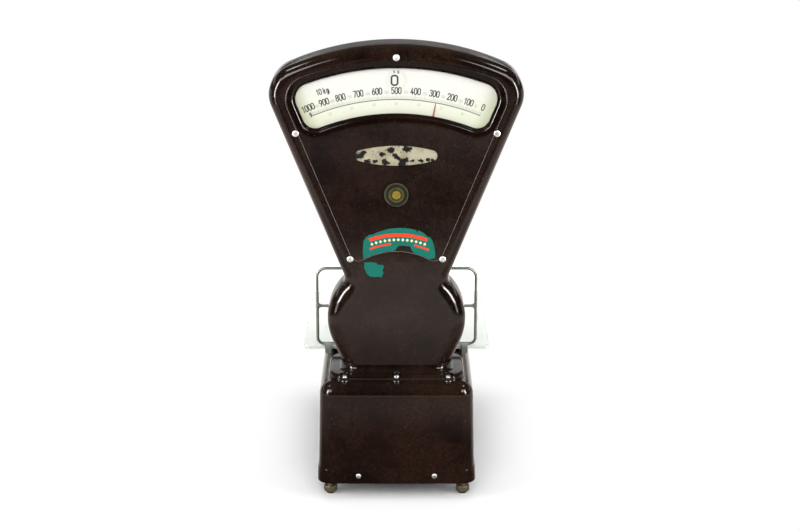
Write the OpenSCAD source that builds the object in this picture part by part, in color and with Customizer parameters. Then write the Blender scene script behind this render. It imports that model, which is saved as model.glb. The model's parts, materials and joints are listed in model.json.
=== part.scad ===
// Two-sided fan counter scale: a pendulum head on a long base, with an opal goods plate behind it.
// X runs to the right and Y away from the customer, both from the head's middle; Z is height above ground.
// Sizes are millimetres. At the end the model is moved along Y: its origin is under the middle of its box.

/* [Head] */
// Thickness of the head, from its front face to its rear face
head_t = 76; // [74:1:84]
// Widest width of the head
head_w = 390.4; // [384:0.4:396]
// Height of the pointer's pivot above the ground
pivot_z = 303; // [300:1:306]
// Radius of the head's top edge about the pivot
head_top_r = 422.3; // [421.7:0.2:425.7]
// Radius of the head's upper corners
head_corner_r = 48.5; // [46:0.5:52]
// Lean of the head's straight sides, in degrees from upright
side_angle = 22.05; // [21.5:0.05:22.5]
// Radius of the waist under the fan
waist_r = 15; // [14:0.5:18]
// Width of the bulge in the neck
bulge_w = 218.8; // [216.4:0.2:221]
// Height of the bulge's widest point
bulge_z = 288.5; // [287:0.5:290]
// Radius of the bulge above its widest point
bulge_upper_r = 80; // [77:1:83]
// Radius of the bulge below its widest point
bulge_lower_r = 99; // [96:1:102]
// Lean of the neck's foot, in degrees from upright
foot_angle = 24; // [23:0.2:25]
// Width of the rounded edge round the fan
edge_w = 13; // [11:0.5:14]
// Width of the rounded edge round the neck
neck_edge_w = 23.5; // [21:0.5:25]
// Depth of the rounded edge
edge_depth = 18; // [15:0.5:20]
// Wall of the head's sides
head_wall = 6; // [5:0.5:7]
// Thickness of the head's faces
face_t = 8; // [7:0.5:8.5]

/* [Window and cover] */
// Distance from the head's sides to the window
win_inset = 38; // [37:0.2:39]
// Height of the window's top edge at the middle
win_top_z = 688.4; // [687:0.2:690]
// Radius of the window's top edge
win_top_r = 403; // [400:1:410]
// Radius of the window's upper corners
win_upper_r = 24; // [20:1:26]
// Height of the window's bottom edge at the middle
win_bottom_z = 619.1; // [616:0.1:622]
// Radius of the window's bottom edge
win_bottom_r = 321; // [316:1:326]
// Radius of the window's lower corners
win_lower_r = 20; // [17:1:22]
// Width of the sunk frame round the window
bezel_w = 14; // [13:0.5:15]
// Depth of the bezel behind the face
bezel_depth = 7; // [6.5:0.5:7]
// Height of the cover's lower edge at the middle
cover_bottom_z = 401.4; // [398:0.2:405]
// Radius of the cover's arched lower edge
cover_bottom_r = 105; // [98:1:112]
// Radius of the cover's lower corners
cover_lower_r = 14; // [12:1:16]
// Thickness of the cover panel
cover_t = 4; // [3.5:0.5:4.5]
// Gap round the cover
cover_gap = 0.3; // [0.2:0.05:0.5]
// Thickness of the window glass
glass_t = 2; // [1.6:0.2:2.4]
// Thickness of the dial sheet
dial_t = 1; // [0.8:0.1:1.2]
// Distance from the window's back lip to the dial
dial_gap = 4.8; // [4.6:0.1:5.4]
// Radius of the kilogram window in the dial
kg_window_r = 11; // [10:0.5:12]
// Height of the kilogram window
kg_window_z = 668.7; // [667:0.1:670]

/* [Name plate and badge] */
// Width of the name plate
name_w = 126; // [120:0.5:132]
// Height of the name plate
name_h = 31; // [28:0.5:34]
// Height of the name plate's middle
name_z = 554.4; // [545:0.2:560]
// Thickness of the name plate
name_t = 1.2; // [0.8:0.1:1.6]
// Radius of the badge
badge_r = 18.7; // [15:0.1:22]
// Height of the badge's middle
badge_z = 492.8; // [480:0.2:505]
// Thickness of the badge
badge_t = 2.6; // [2:0.2:3.6]

/* [Screws] */
// Radius of a cover screw's head
screw_head_r = 5.4; // [5:0.1:6]
// Height of a cover screw's head
screw_head_h = 2.4; // [1.8:0.2:3]
// Radius of a cover screw's shank
screw_r = 2.2; // [1.8:0.1:2.4]
// Height of the two side cover screws
side_screw_z = 588.8; // [580:0.2:592]
// Distance of the cover screws from the cover's edge
screw_out = 3.2; // [2.8:0.1:3.6]
// Spread of the flange screws on either side of the middle
flange_screw_x = 82; // [81:0.5:83]
// Distance of the flange screws from the head's mid-plane
flange_screw_y = 50; // [49.5:0.5:50.5]
// Radius of the pockets round the flange screws
pocket_r = 8.5; // [8:0.1:9]
// Width of the slots that open the pockets to the front
pocket_w = 15; // [14:0.5:16]
// Spread of the plinth screws on either side of the middle
plinth_screw_x = 60.6; // [55:0.2:66]
// Height of the plinth screws
plinth_screw_z = 41.6; // [40:0.2:43]

/* [Base] */
// Width of the base at its top
base_top_w = 243; // [240:1:248]
// Width of the base at its bottom
base_bottom_w = 250; // [249:0.5:254]
// Distance of the base's front from the head's mid-plane, at its top
base_front = 78; // [77:0.5:82]
// Distance of the base's rear from the head's mid-plane, at its top
base_rear = 335; // [330:1:345]
// Height of the base's deck
deck_z = 194.4; // [193:0.2:195]
// Height of the base's lower rim
rim_z = 28.6; // [27:0.2:30]
// Radius of the base's upright corners
base_corner_r = 21; // [20.5:0.5:24]
// Radius of the base's top edge
base_edge_r = 20; // [17:0.5:20]
// Wall of the base
base_wall = 5; // [4.5:0.5:5.5]
// Height of the plinth band's top edge
plinth_z = 50.9; // [49:0.1:53]
// How far the plinth band stands proud
plinth_out = 1.4; // [1:0.1:2]
// Half width of the head's foot
pad_hx = 108; // [106:0.5:110]
// Half depth of the head's foot
pad_hy = 58; // [57:0.5:59]
// Height of the head's foot
pad_h = 8.6; // [8:0.2:9.5]
// Radius of the cove between the foot and the neck
cove_r = 11; // [9.5:0.5:12.5]
// Thickness of the cast base plate
frame_t = 5; // [4.5:0.5:5.5]
// Distance of the feet from the base's sides
foot_side = 18.4; // [18:0.1:20]
// Inset of the feet from the base's front and rear
foot_inset = 27; // [24:0.5:30]
// Radius of the feet's knurled rims
foot_r = 10.5; // [10:0.5:11.5]
// Radius of the feet's studs
foot_stud_r = 5; // [4:0.5:5]
// Height of a foot's knurled rim above the ground
foot_rim_z = 14; // [13:0.5:15]
// Lower end of the bosses that hold the feet
foot_boss_z = 22.5; // [22:0.5:23]

/* [Goods plate and guard] */
// Width of the goods plate
plate_w = 306; // [296:1:316]
// Depth of the goods plate
plate_d = 300; // [296:1:304]
// Thickness of the goods plate
plate_t = 6; // [5:0.5:7]
// Radius of the goods plate's corners
plate_corner_r = 8; // [6:0.5:12]
// Height of the goods plate's upper face
plate_top_z = 210; // [209.6:0.1:211]
// Distance from the guard's wire to the goods plate
guard_gap = 5; // [5:0.1:5.4]
// Diameter of the guard's wire
wire_d = 4.8; // [4.4:0.2:5.2]
// Spread of the guard's upright wires on either side of the middle
guard_hx = 129.5; // [127:0.5:132]
// Height of the guard's lower wire
guard_low_z = 215.4; // [214.4:0.2:216]
// Height of the guard's middle wire
guard_mid_z = 280.5; // [274:0.5:288]
// Height of the guard's upper wire
guard_top_z = 344.5; // [338:0.5:350]
// Radius of the guard's upper corners
guard_top_r = 15; // [12:0.5:18]
// Radius of the guard's lower corners
guard_low_r = 10; // [8:0.5:12]
// Spread of the guard's brackets on either side of the middle
bracket_x = 112.1; // [110:0.1:113]
// Width of the guard's brackets
bracket_w = 9.3; // [8:0.1:10]
// Thickness of the plate carrier's bars
carrier_t = 3.5; // [3:0.1:3.6]
// Height of the rubber buffers above the carrier
buffer_h = 1; // [0.8:0.1:1.2]

/* [Weighing mechanism] */
// Height of the lever's knife edges
lever_z = 134; // [133:0.5:135]
// Distance of the fulcrum from the head's mid-plane
fulcrum_y = 170; // [168:0.5:172]
// Distance from the fulcrum to the load knives
load_arm = 47; // [45:0.5:49]
// Distance of the connecting rod from the head's mid-plane
rod_y = 6; // [5.5:0.1:6]
// Length of the crank on the pointer's shaft
crank_r = 28; // [26:0.5:29]
// Lean of the pointer at rest, in degrees from upright
rest_angle = 10.3; // [8:0.1:12]
// Length of the pointer from its pivot
pointer_len = 334; // [330:0.5:336]
// Radius of the pointer's shaft
shaft_r = 4; // [3.5:0.1:4.5]
// Running clearance of a shaft in its bearing
run_gap = 0.05; // [0.03:0.01:0.08]
// Clearance between a knife edge and its bearing
edge_gap = 0.5; // [0.4:0.05:0.6]
// Radius of the pendulum bob
bob_r = 20; // [18:0.5:22]
// Distance from the pivot to the bob's middle
bob_drop = 52; // [48:0.5:56]
// Height of the stay link under the lever
stay_z = 60; // [58:0.5:64]
// Distance of the damper from the head's mid-plane
damper_y = 90; // [88:0.5:96]
// Radius of the damper's bore
damper_r = 15.5; // [14:0.5:16]
// Radius of the carrier's column
column_r = 10; // [9:0.5:11]

/* [Kilogram drive] */
// Sideways place of the kilogram knob and of the number discs
kg_x = -38; // [-39:0.5:-37]
// Height of the kilogram knob
kg_z = 238; // [237:0.5:240]
// Height of the number discs' axle
disc_z = 640; // [636:0.5:642]
// Radius of the number discs
disc_r = 60; // [58:0.5:62]
// Radius of the sprockets
sprocket_r = 12; // [11:0.5:13]
// Sideways place of the camshaft
cam_x = -80; // [-82:0.5:-78]
// Height of the camshaft
cam_z = 60; // [59.5:0.5:62]
// Largest radius of the lifter cam
cam_r = 25; // [24:0.5:25.5]
// Radius of the kilogram knob
knob_r = 23; // [20:0.5:26]
// Number of kilogram weights
weight_count = 9; // [5:1:9]
// Radius of a kilogram weight
weight_r = 52; // [48:0.5:53]
// Height step from one parked weight to the next
weight_pitch = 6; // [6:0.1:6.2]

/* [Hidden] */
$fn = 48;

bakelite = "#33221c";
nickel = "#8d8f86";
steel = "#9aa0a6";
brass_colour = "#b08d4a";
iron = "#4a4d50";
cream = "#f1efdf";

// Places across the head's thickness, measured forwards or backwards from its mid-plane
face_y = head_t / 2;
wall_y = face_y - face_t;
lip_y = face_y - bezel_depth;
glass_y = lip_y - glass_t;
dial_y = lip_y - dial_gap;
pointer_t = 0.8;
pointer_y = (glass_y + dial_y) / 2 + pointer_t / 2;
bore_slack = 0.2;
glass_lap = 1.6;
flange_shank_r = 2.8;
tiny = 0.01;

// The front edge of the plinth and the far edge of the plate give the middle of the model's box
fulcrum_x = 54;
plate_y = fulcrum_y + load_arm;
base_flare = (base_bottom_w - base_top_w) / 2;
plinth_front = base_front + base_flare + plinth_out;
plinth_head_h = 1.8;
mid_y = (plate_y + plate_d / 2 - plinth_front - plinth_head_h) / 2;

// Plain helpers
function ang(p, c) = atan2(p[1] - c[1], p[0] - c[0]);
function polar(c, r, a) = [c[0] + r * cos(a), c[1] + r * sin(a)];
function arc(c, r, a0, a1, n) = [for (i = [0:n]) polar(c, r, a0 + (a1 - a0) * i / n)];
function tail(v) = [for (i = [1:len(v) - 1]) v[i]];
function meet(q, d, c, r, s) = let (w = q - c, b = w * d) q + d * (s * sqrt(b * b - w * w + r * r) - b);
function smooth(t) = let (u = min(1, max(0, t))) u * u * (3 - 2 * u);
function flip_x(v) = [for (i = [len(v) - 1:-1:0]) [-v[i][0], v[i][1]]];
function whole(half) = concat(half, [for (i = [len(half) - 2:-1:1]) [-half[i][0], half[i][1]]]);
function ring(v, y) = [for (p = v) [p[0], y, p[1]]];

module block(x0, x1, y0, y1, z0, z1) {
    translate([x0, y0, z0]) cube([x1 - x0, y1 - y0, z1 - z0]);
}
module both_sides() {
    children();
    mirror([1, 0, 0]) children();
}
module y_rod(x, z, y0, y1, r) {
    translate([x, y1, z]) rotate([90, 0, 0]) cylinder(r = r, h = y1 - y0);
}
module x_rod(y, z, x0, x1, r) {
    translate([x0, y, z]) rotate([0, 90, 0]) cylinder(r = r, h = x1 - x0);
}
module y_slab(points, y0, y1) {
    translate([0, y1, 0]) rotate([90, 0, 0]) linear_extrude(y1 - y0) polygon(points);
}
module x_slab(points, x0, x1) {
    translate([x0, 0, 0]) rotate([90, 0, 90]) linear_extrude(x1 - x0) polygon(points);
}
module round_box(hx, y0, y1, r, z0, z1) {
    block(-hx + r, hx - r, y0, y1, z0, z1);
    block(-hx, hx, y0 + r, y1 - r, z0, z1);
    for (x = [-hx + r, hx - r], y = [y0 + r, y1 - r])
        translate([x, y, z0]) cylinder(r = r, h = z1 - z0);
}
// A closed skin through rings of as many points each; cap lists its end faces
module loft(rings, cap, reversed = false) {
    n = len(rings[0]);
    k = len(rings);
    sides = [
        for (j = [0:k - 2], i = [0:n - 1])
            let (a = j * n + i, d = j * n + (i + 1) % n)
            for (f = [[a, a + n, d + n], [a, d + n, d]]) f
    ];
    first = [for (f = cap) f];
    last = [for (f = cap) [for (i = [len(f) - 1:-1:0]) (k - 1) * n + f[i]]];
    faces = concat(sides, first, last);
    polyhedron([for (r = rings) each r],
        reversed ? [for (f = faces) [for (i = [len(f) - 1:-1:0]) f[i]]] : faces, convexity = 8);
}
function one_cap(n) = [[for (i = [0:n - 1]) i]];
// End faces in level strips, for an outline that starts and ends at its foot
function level_caps(n) = let (m = (n + 1) / 2) concat(
    [for (i = [0:m - 3]) [i, i + 1, n - 2 - i, n - 1 - i]],
    [[m - 2, m - 1, m]]
);
// End faces in upright strips, for a fan that starts at the middle of its lower edge
function fan_caps(n) = let (m = n / 2 + 1) concat(
    [for (i = [0:m / 2 - 2]) [i, i + 1, m - 2 - i, m - 1 - i]],
    [for (i = [0:m / 2 - 2]) [for (j = [m - 1 - i, m - 2 - i, i + 1, i]) (n - j) % n]]
);

// The head's outline, from the straight side that leans at side_angle
pivot = [0, pivot_z];
side_d = [sin(side_angle), cos(side_angle)];
side_n = [-cos(side_angle), sin(side_angle)];
corner_x = head_w / 2 - head_corner_r;
corner_c = [corner_x, pivot_z + sqrt(pow(head_top_r - head_corner_r, 2) - corner_x * corner_x)];
side_p = polar(corner_c, head_corner_r, -side_angle);
upper_c = [bulge_w / 2 - bulge_upper_r, bulge_z];
lower_c = [bulge_w / 2 - bulge_lower_r, bulge_z];
waist_c = meet(side_p - waist_r * side_n, side_d, upper_c, bulge_upper_r + waist_r, 1);
foot_top = polar(lower_c, bulge_lower_r, -foot_angle);
foot_hx = foot_top[0] - (foot_top[1] - deck_z) * tan(foot_angle);

function skin_arc(c, r, a0, a1, n, s) = [for (i = [0:n])
    let (a = a0 + (a1 - a0) * i / n, p = polar(c, r, a)) [p[0], p[1], s * cos(a), s * sin(a)]];
head_half = concat(
    [[foot_hx, deck_z, 1, 0]],
    skin_arc(lower_c, bulge_lower_r, -foot_angle, 0, 4, 1),
    tail(skin_arc(upper_c, bulge_upper_r, 0, ang(waist_c, upper_c), 6, 1)),
    tail(skin_arc(waist_c, waist_r, ang(upper_c, waist_c) + 360, 180 - side_angle, 6, -1)),
    skin_arc(corner_c, head_corner_r, -side_angle, ang(corner_c, pivot), 8, 1),
    tail(skin_arc(pivot, head_top_r, ang(corner_c, pivot), 90, 6, 1))
);
head_skin = concat(head_half, [for (i = [len(head_half) - 2:-1:0])
    let (p = head_half[i]) [-p[0], p[1], -p[2], p[3]]]);
function edge_at(z) = edge_w + (neck_edge_w - edge_w) * smooth((waist_c[1] + 20 - z) / 40);
function head_inset(d) = [for (p = head_skin) [p[0] - p[2] * d, p[1] - p[3] * d]];
function head_ring(f, y) = [for (p = head_skin)
    [p[0] - p[2] * f * edge_at(p[1]), -y, p[1] - p[3] * f * edge_at(p[1])]];
function side_x(z, inset) = side_p[0] + (z - side_p[1]) * tan(side_angle) - inset / cos(side_angle);

// A fan-shaped outline that follows the head's sides, grown outwards by off
function fan(inset, top_z, top_r, upper_r, bottom_z, bottom_r, lower_r, off) =
    let (
        top_c = [0, top_z - top_r],
        bottom_c = [0, bottom_z - bottom_r],
        start = side_p + side_n * (inset + upper_r),
        low_start = side_p + side_n * (inset + lower_r),
        up = meet(start, side_d, top_c, top_r - upper_r, 1),
        low = meet(low_start, side_d, bottom_c, bottom_r + lower_r, 1)
    )
    whole(concat(
        arc(bottom_c, bottom_r - off, 90, ang(low, bottom_c), 8),
        tail(arc(low, lower_r + off, ang(low, bottom_c) - 180, -side_angle, 6)),
        arc(up, upper_r + off, -side_angle, ang(up, top_c), 6),
        tail(arc(top_c, top_r + off, ang(up, top_c), 90, 8))
    ));
function window(off) =
    fan(win_inset, win_top_z, win_top_r, win_upper_r, win_bottom_z, win_bottom_r, win_lower_r, off);
cover_inset = win_inset - bezel_w - 1;
cover_top_z = win_top_z + bezel_w;
function cover(off) = fan(cover_inset, cover_top_z, win_top_r + bezel_w, win_upper_r + bezel_w,
    cover_bottom_z, cover_bottom_r, cover_lower_r, off);
cover_low_c = meet(side_p + side_n * (cover_inset + cover_lower_r), side_d,
    [0, cover_bottom_z - cover_bottom_r], cover_bottom_r + cover_lower_r, 1);
ledge_w = bezel_w - 8;
ring_w = bezel_w - ledge_w - cover_gap;
boss_r = 1.8;
boss_off = ring_w - boss_r;
boss_z = win_bottom_z - 4;
boss_x = side_x(boss_z, win_inset - boss_off);
dial_bosses = [
    polar([0, win_top_z - win_top_r], win_top_r + boss_off, 78),
    polar([0, win_top_z - win_top_r], win_top_r + boss_off, 102),
    [boss_x, boss_z],
    [-boss_x, boss_z]
];

low_screw = polar(cover_low_c, cover_lower_r + screw_out, -40);
side_screw_x = side_x(side_screw_z, cover_inset - screw_out);
cover_screw_places = [
    [0, cover_top_z + screw_out],
    [side_screw_x, side_screw_z],
    [-side_screw_x, side_screw_z],
    low_screw,
    [-low_screw[0], low_screw[1]]
];
flange_places = [for (x = [-flange_screw_x, 0, flange_screw_x]) [x, -flange_screw_y]];

// Heights of the moving chain above the ground
carrier_top_z = plate_top_z - plate_t - buffer_h;
carrier_z = carrier_top_z - carrier_t;
guard_y = plate_y - plate_d / 2 - guard_gap;
frame_top_z = rim_z + frame_t;
rod_x = crank_r;
power_arm = fulcrum_y - rod_y;
pad_z = deck_z + pad_h;
neck_hx = foot_hx + 3;

// One half of the head, made as the front half; the rear half is its mirror image
pad_skin = [
    [1, 0], [1, pad_h - 5], [0.96, pad_h - 2], [0.88, pad_h - 0.4], [0.8, pad_h],
];
function half_ring(hx, hy, r, z) = concat(
    [[hx, 0, z]],
    [for (a = [0:-15:-90]) [hx - r + r * cos(a), r - hy + r * sin(a), z]],
    [for (a = [-90:-15:-180]) [r - hx + r * cos(a), r - hy + r * sin(a), z]],
    [[-hx, 0, z]]
);
function pad_ring(s, z) =
    half_ring(neck_hx + s * (pad_hx - neck_hx), face_y + s * (pad_hy - face_y), 18 + s * 10, z);
cove_s = cove_r / (pad_hy - face_y);
module head_foot() {
    loft(concat(
        [for (p = pad_skin) pad_ring(p[0], deck_z + p[1])],
        [for (a = [15:15:90]) pad_ring(cove_s * (1 - sin(a)), pad_z + cove_r * (1 - cos(a)))],
        [pad_ring(-0.1, pad_z + cove_r + 1)]
    ), one_cap(16), true);
}
steps = 6;
module half_head() {
    rounding = [for (k = [0:steps]) let (a = 90 * k / steps)
        head_ring(1 - cos(a), face_y - edge_depth + edge_depth * sin(a))];
    difference() {
        union() {
            loft(concat([head_ring(0, 0)], rounding), level_caps(len(head_skin)));
            head_foot();
        }
        y_slab(head_inset(head_wall), -face_y + edge_depth, 1);
        y_slab(head_inset(head_wall + 4), -wall_y, -face_y + edge_depth + 1);
        block(-foot_hx + head_wall, foot_hx - head_wall, -wall_y, 1, deck_z - 1, pad_z + 20);
        y_slab(cover(0), -face_y - 1, -face_y + cover_t);
        y_slab(cover(-ledge_w), -face_y, -wall_y + 1);
        for (p = cover_screw_places) y_rod(p[0], p[1], -face_y - 1, -wall_y + 1, screw_r + bore_slack);
        for (p = flange_places) {
            translate([p[0], p[1], pad_z - 4.6]) cylinder(r = pocket_r, h = 30);
            block(p[0] - pocket_w / 2, p[0] + pocket_w / 2, -pad_hy - 1, p[1], pad_z - 4.6, pad_z + 20);
            translate([p[0], p[1], deck_z - 1]) cylinder(r = flange_shank_r + bore_slack, h = 20);
        }
    }
}

module head_front_shell() {
    color(bakelite) half_head();
}
module head_rear_shell() {
    color(bakelite) difference() {
        mirror([0, 1, 0]) half_head();
        y_rod(kg_x, kg_z, wall_y - 1, face_y + 1, kg_shaft_r + 1);
    }
}

module half_cover() {
    difference() {
        union() {
            y_slab(cover(-cover_gap), -face_y, -face_y + cover_t);
            y_slab(window(ring_w), -face_y + cover_t, -lip_y);
        }
        y_slab(window(0), -face_y - 1, -lip_y + 1);
        loft([ring(window(0.3), -lip_y - 2.5), ring(window(2), -lip_y - 4.5),
            ring(window(5), -face_y + 1), ring(window(9), -face_y), ring(window(13), -face_y - 1)],
            fan_caps(len(window(0))));
        for (p = cover_screw_places)
            y_rod(p[0], p[1], -face_y - 1, -face_y + cover_t + 1, screw_r + bore_slack);
    }
    for (p = dial_bosses) y_rod(p[0], p[1], -lip_y, -dial_y, boss_r);
}
module front_cover() {
    color(bakelite) half_cover();
}
module rear_cover() {
    color(bakelite) mirror([0, 1, 0]) half_cover();
}
module half_glass() {
    y_slab(window(glass_lap), -lip_y, -glass_y);
}
module front_glass() {
    color([0.9, 0.95, 0.95, 0.3]) half_glass();
}
module rear_glass() {
    color([0.9, 0.95, 0.95, 0.3]) mirror([0, 1, 0]) half_glass();
}
module half_dial() {
    difference() {
        y_slab(window(10), -dial_y, -dial_y + dial_t);
        y_rod(0, kg_window_z, -dial_y - 1, -dial_y + dial_t + 1, kg_window_r);
    }
}
module front_dial() {
    color(cream) half_dial();
}
module rear_dial() {
    color(cream) mirror([0, 1, 0]) half_dial();
}

// A lens with rounded ends
name_end_r = 8.5;
name_half = name_w / 2 - name_end_r;
name_r = (name_half * name_half + name_h * name_h / 4 - name_end_r * name_end_r)
    / (name_h - 2 * name_end_r);
module name_plate() {
    c = [0, name_h / 2 - name_r];
    e = [name_half, 0];
    quarter = concat(arc(e, name_end_r, 0, ang(e, c), 4), tail(arc(c, name_r, ang(e, c), 90, 8)));
    upper = concat(quarter, tail(flip_x(quarter)));
    lower = [for (i = [len(upper) - 2:-1:1]) [upper[i][0], -upper[i][1]]];
    color(cream) translate([0, 0, name_z]) y_slab(concat(upper, lower), -face_y - name_t, -face_y);
}
module badge() {
    color("#5a5546") difference() {
        union() {
            y_rod(0, badge_z, -face_y - badge_t, -face_y, badge_r);
            y_rod(0, badge_z, -face_y - badge_t - 0.6, -face_y - badge_t, badge_r * 0.5);
        }
        difference() {
            y_rod(0, badge_z, -face_y - badge_t - 1, -face_y - badge_t + 0.8, badge_r * 0.84);
            y_rod(0, badge_z, -face_y - badge_t - 2, -face_y, badge_r * 0.62);
        }
    }
}

module slotted_screw(head_r, head_h, r, length, slot_angle) {
    difference() {
        union() {
            cylinder(r1 = head_r, r2 = head_r * 0.82, h = head_h);
            translate([0, 0, -length]) cylinder(r = r, h = length);
        }
        rotate([0, 0, slot_angle]) translate([-head_r, -0.6, head_h - 1.1]) cube([2 * head_r, 1.2, 2]);
    }
}
module face_screws() {
    for (i = [0:len(cover_screw_places) - 1])
        translate([cover_screw_places[i][0], -face_y, cover_screw_places[i][1]])
            rotate([90, 0, 0]) slotted_screw(screw_head_r, screw_head_h, screw_r, face_t, 25 + 50 * i);
}
module cover_screws() {
    color(nickel) {
        face_screws();
        mirror([0, 1, 0]) face_screws();
    }
}
module flange_screws() {
    color(nickel) for (s = [0, 1], p = flange_places)
        mirror([0, s, 0]) translate([p[0], p[1], pad_z - 4.6])
            slotted_screw(4.6, 2.6, flange_shank_r, pad_h - 4.6 + base_wall, 35);
}
module plinth_screws() {
    color(nickel) for (x = [-plinth_screw_x, plinth_screw_x]) {
        translate([x, -plinth_front, plinth_screw_z])
            rotate([90, 0, 0]) slotted_screw(4.2, plinth_head_h, 2, base_wall + 4, 30);
        translate([x, base_rear + base_flare + plinth_out, plinth_screw_z])
            rotate([-90, 0, 0]) slotted_screw(4.2, plinth_head_h, 2, base_wall + 4, 30);
    }
}

// The base's outer form, shrunk by inset for its hollow
module base_form(inset) {
    r = base_corner_r - inset;
    e = base_edge_r - inset;
    top = deck_z - inset;
    profile = concat(
        [[0, -e], [r, -e]],
        [for (a = [15:15:90]) [r - e + e * cos(a), e * sin(a) - e]],
        [[0, 0]]
    );
    hull() {
        for (x = [-1, 1], y = [0, 1]) {
            edge_top = y == 0 ? inset - base_front : base_rear - inset;
            edge_low = y == 0 ? edge_top - base_flare : edge_top + base_flare;
            s = y == 0 ? 1 : -1;
            translate([x * (base_top_w / 2 - inset - r), edge_top + s * r, top])
                rotate_extrude($fn = 32) polygon(profile);
            translate([x * (base_bottom_w / 2 - inset - r), edge_low + s * r, rim_z])
                cylinder(r = r, h = tiny, $fn = 32);
        }
    }
}
slot_x0 = -64;
slot_x1 = 48;
slot_y0 = -24;
slot_y1 = 31;
level_x = 80;
level_y = 85;
level_r = 11;
module base_casing() {
    color(bakelite) difference() {
        union() {
            base_form(0);
            round_box(base_bottom_w / 2 + plinth_out, -plinth_front, base_rear + base_flare + plinth_out,
                base_corner_r + plinth_out, rim_z, plinth_z);
        }
        translate([0, 0, -tiny]) base_form(base_wall);
        translate([0, 0, -1]) round_box(base_bottom_w / 2 - base_wall, base_wall - base_front - base_flare,
            base_rear + base_flare - base_wall, base_corner_r - base_wall, rim_z, rim_z + frame_t + 1);
        block(slot_x0, slot_x1, slot_y0, slot_y1, deck_z - 10, deck_z + 1);
        translate([0, plate_y, deck_z - 10]) cylinder(r = column_r + 4, h = 20);
        translate([level_x, level_y, deck_z - 10]) cylinder(r = level_r + 0.1, h = 20);
        for (p = flange_places) {
            translate([p[0], -pad_hy - 6, deck_z + 2]) sphere(r = pocket_w / 2 + 1);
            for (s = [-1, 1]) translate([p[0], s * p[1], deck_z - 10])
                cylinder(r = flange_shank_r + bore_slack, h = 20);
        }
        for (x = [-plinth_screw_x, plinth_screw_x])
            y_rod(x, plinth_screw_z, -plinth_front - 1, base_rear + base_flare + plinth_out + 1,
                2 + bore_slack);
    }
}

foot_ys = [foot_inset - base_front, base_rear - foot_inset];
foot_x = base_bottom_w / 2 - foot_side;
foot_boss_r = 13;
frame_hx = base_bottom_w / 2 - base_wall - 0.3;
frame_y0 = base_wall + 0.3 - base_front - base_flare;
frame_y1 = base_rear + base_flare - base_wall - 0.3;
lug_inset = 0.7;
module base_frame() {
    color(iron) difference() {
        union() {
            round_box(frame_hx, frame_y0, frame_y1, base_corner_r - base_wall - 0.3, rim_z, frame_top_z);
            for (x = [-foot_x, foot_x], y = foot_ys)
                translate([x, y, foot_boss_z])
                    cylinder(r = foot_boss_r, h = frame_top_z + 10 - foot_boss_z);
            for (x = [-plinth_screw_x, plinth_screw_x]) {
                block(x - 8, x + 8, frame_y0 + lug_inset, frame_y0 + lug_inset + 8,
                    rim_z + 1, plinth_screw_z + 7);
                block(x - 8, x + 8, frame_y1 - lug_inset - 8, frame_y1 - lug_inset,
                    rim_z + 1, plinth_screw_z + 7);
            }
        }
        for (x = [-foot_x, foot_x], y = foot_ys)
            translate([x, y, foot_boss_z - 1])
                cylinder(r = foot_stud_r + run_gap, h = frame_top_z + 12 - foot_boss_z);
        for (x = [-plinth_screw_x, plinth_screw_x])
            y_rod(x, plinth_screw_z, frame_y0 - 1, frame_y1 + 1, 2 + bore_slack);
    }
}
module foot(x, y) {
    color(brass_colour) translate([x, y, 0]) {
        cylinder(r1 = 6.3, r2 = 8.5, h = 4);
        difference() {
            translate([0, 0, 4]) cylinder(r = foot_r, h = foot_rim_z - 4);
            for (a = [0:15:345]) rotate([0, 0, a]) translate([foot_r + 0.5, 0, 3])
                cylinder(r = 1, h = foot_rim_z);
        }
        cylinder(r = foot_stud_r, h = frame_top_z + 6);
    }
}

module goods_plate() {
    color([0.93, 0.95, 0.92])
        round_box(plate_w / 2, plate_y - plate_d / 2, plate_y + plate_d / 2, plate_corner_r,
            plate_top_z - plate_t, plate_top_z);
}
carrier_hx = 118;
carrier_hy = 112;
carrier_bar = 12;
buffer_r = 5;
buffer_places = [for (x = [-1, 1], y = [-1, 1])
    [x * (carrier_hx - carrier_bar / 2), plate_y + y * (carrier_hy - carrier_bar / 2)]];
module plate_carrier() {
    color(iron) difference() {
        union() {
            for (s = [-1, 1]) {
                y = plate_y + s * (carrier_hy - carrier_bar / 2);
                block(-carrier_hx, carrier_hx, y - carrier_bar / 2, y + carrier_bar / 2,
                    carrier_z, carrier_top_z);
            }
            block(-carrier_bar, carrier_bar, plate_y - carrier_hy, plate_y + carrier_hy,
                carrier_z, carrier_top_z);
            translate([0, plate_y, carrier_z]) cylinder(r = 26, h = carrier_t);
        }
        for (p = buffer_places)
            translate([p[0], p[1], carrier_z - 1]) cylinder(r = buffer_r, h = carrier_t + 2);
        translate([0, plate_y, carrier_z - 1]) cylinder(r = column_r, h = carrier_t + 2);
    }
}
module plate_buffers() {
    color("#222222") for (p = buffer_places)
        translate([p[0], p[1], carrier_z]) cylinder(r = buffer_r, h = carrier_t + buffer_h);
}

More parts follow.
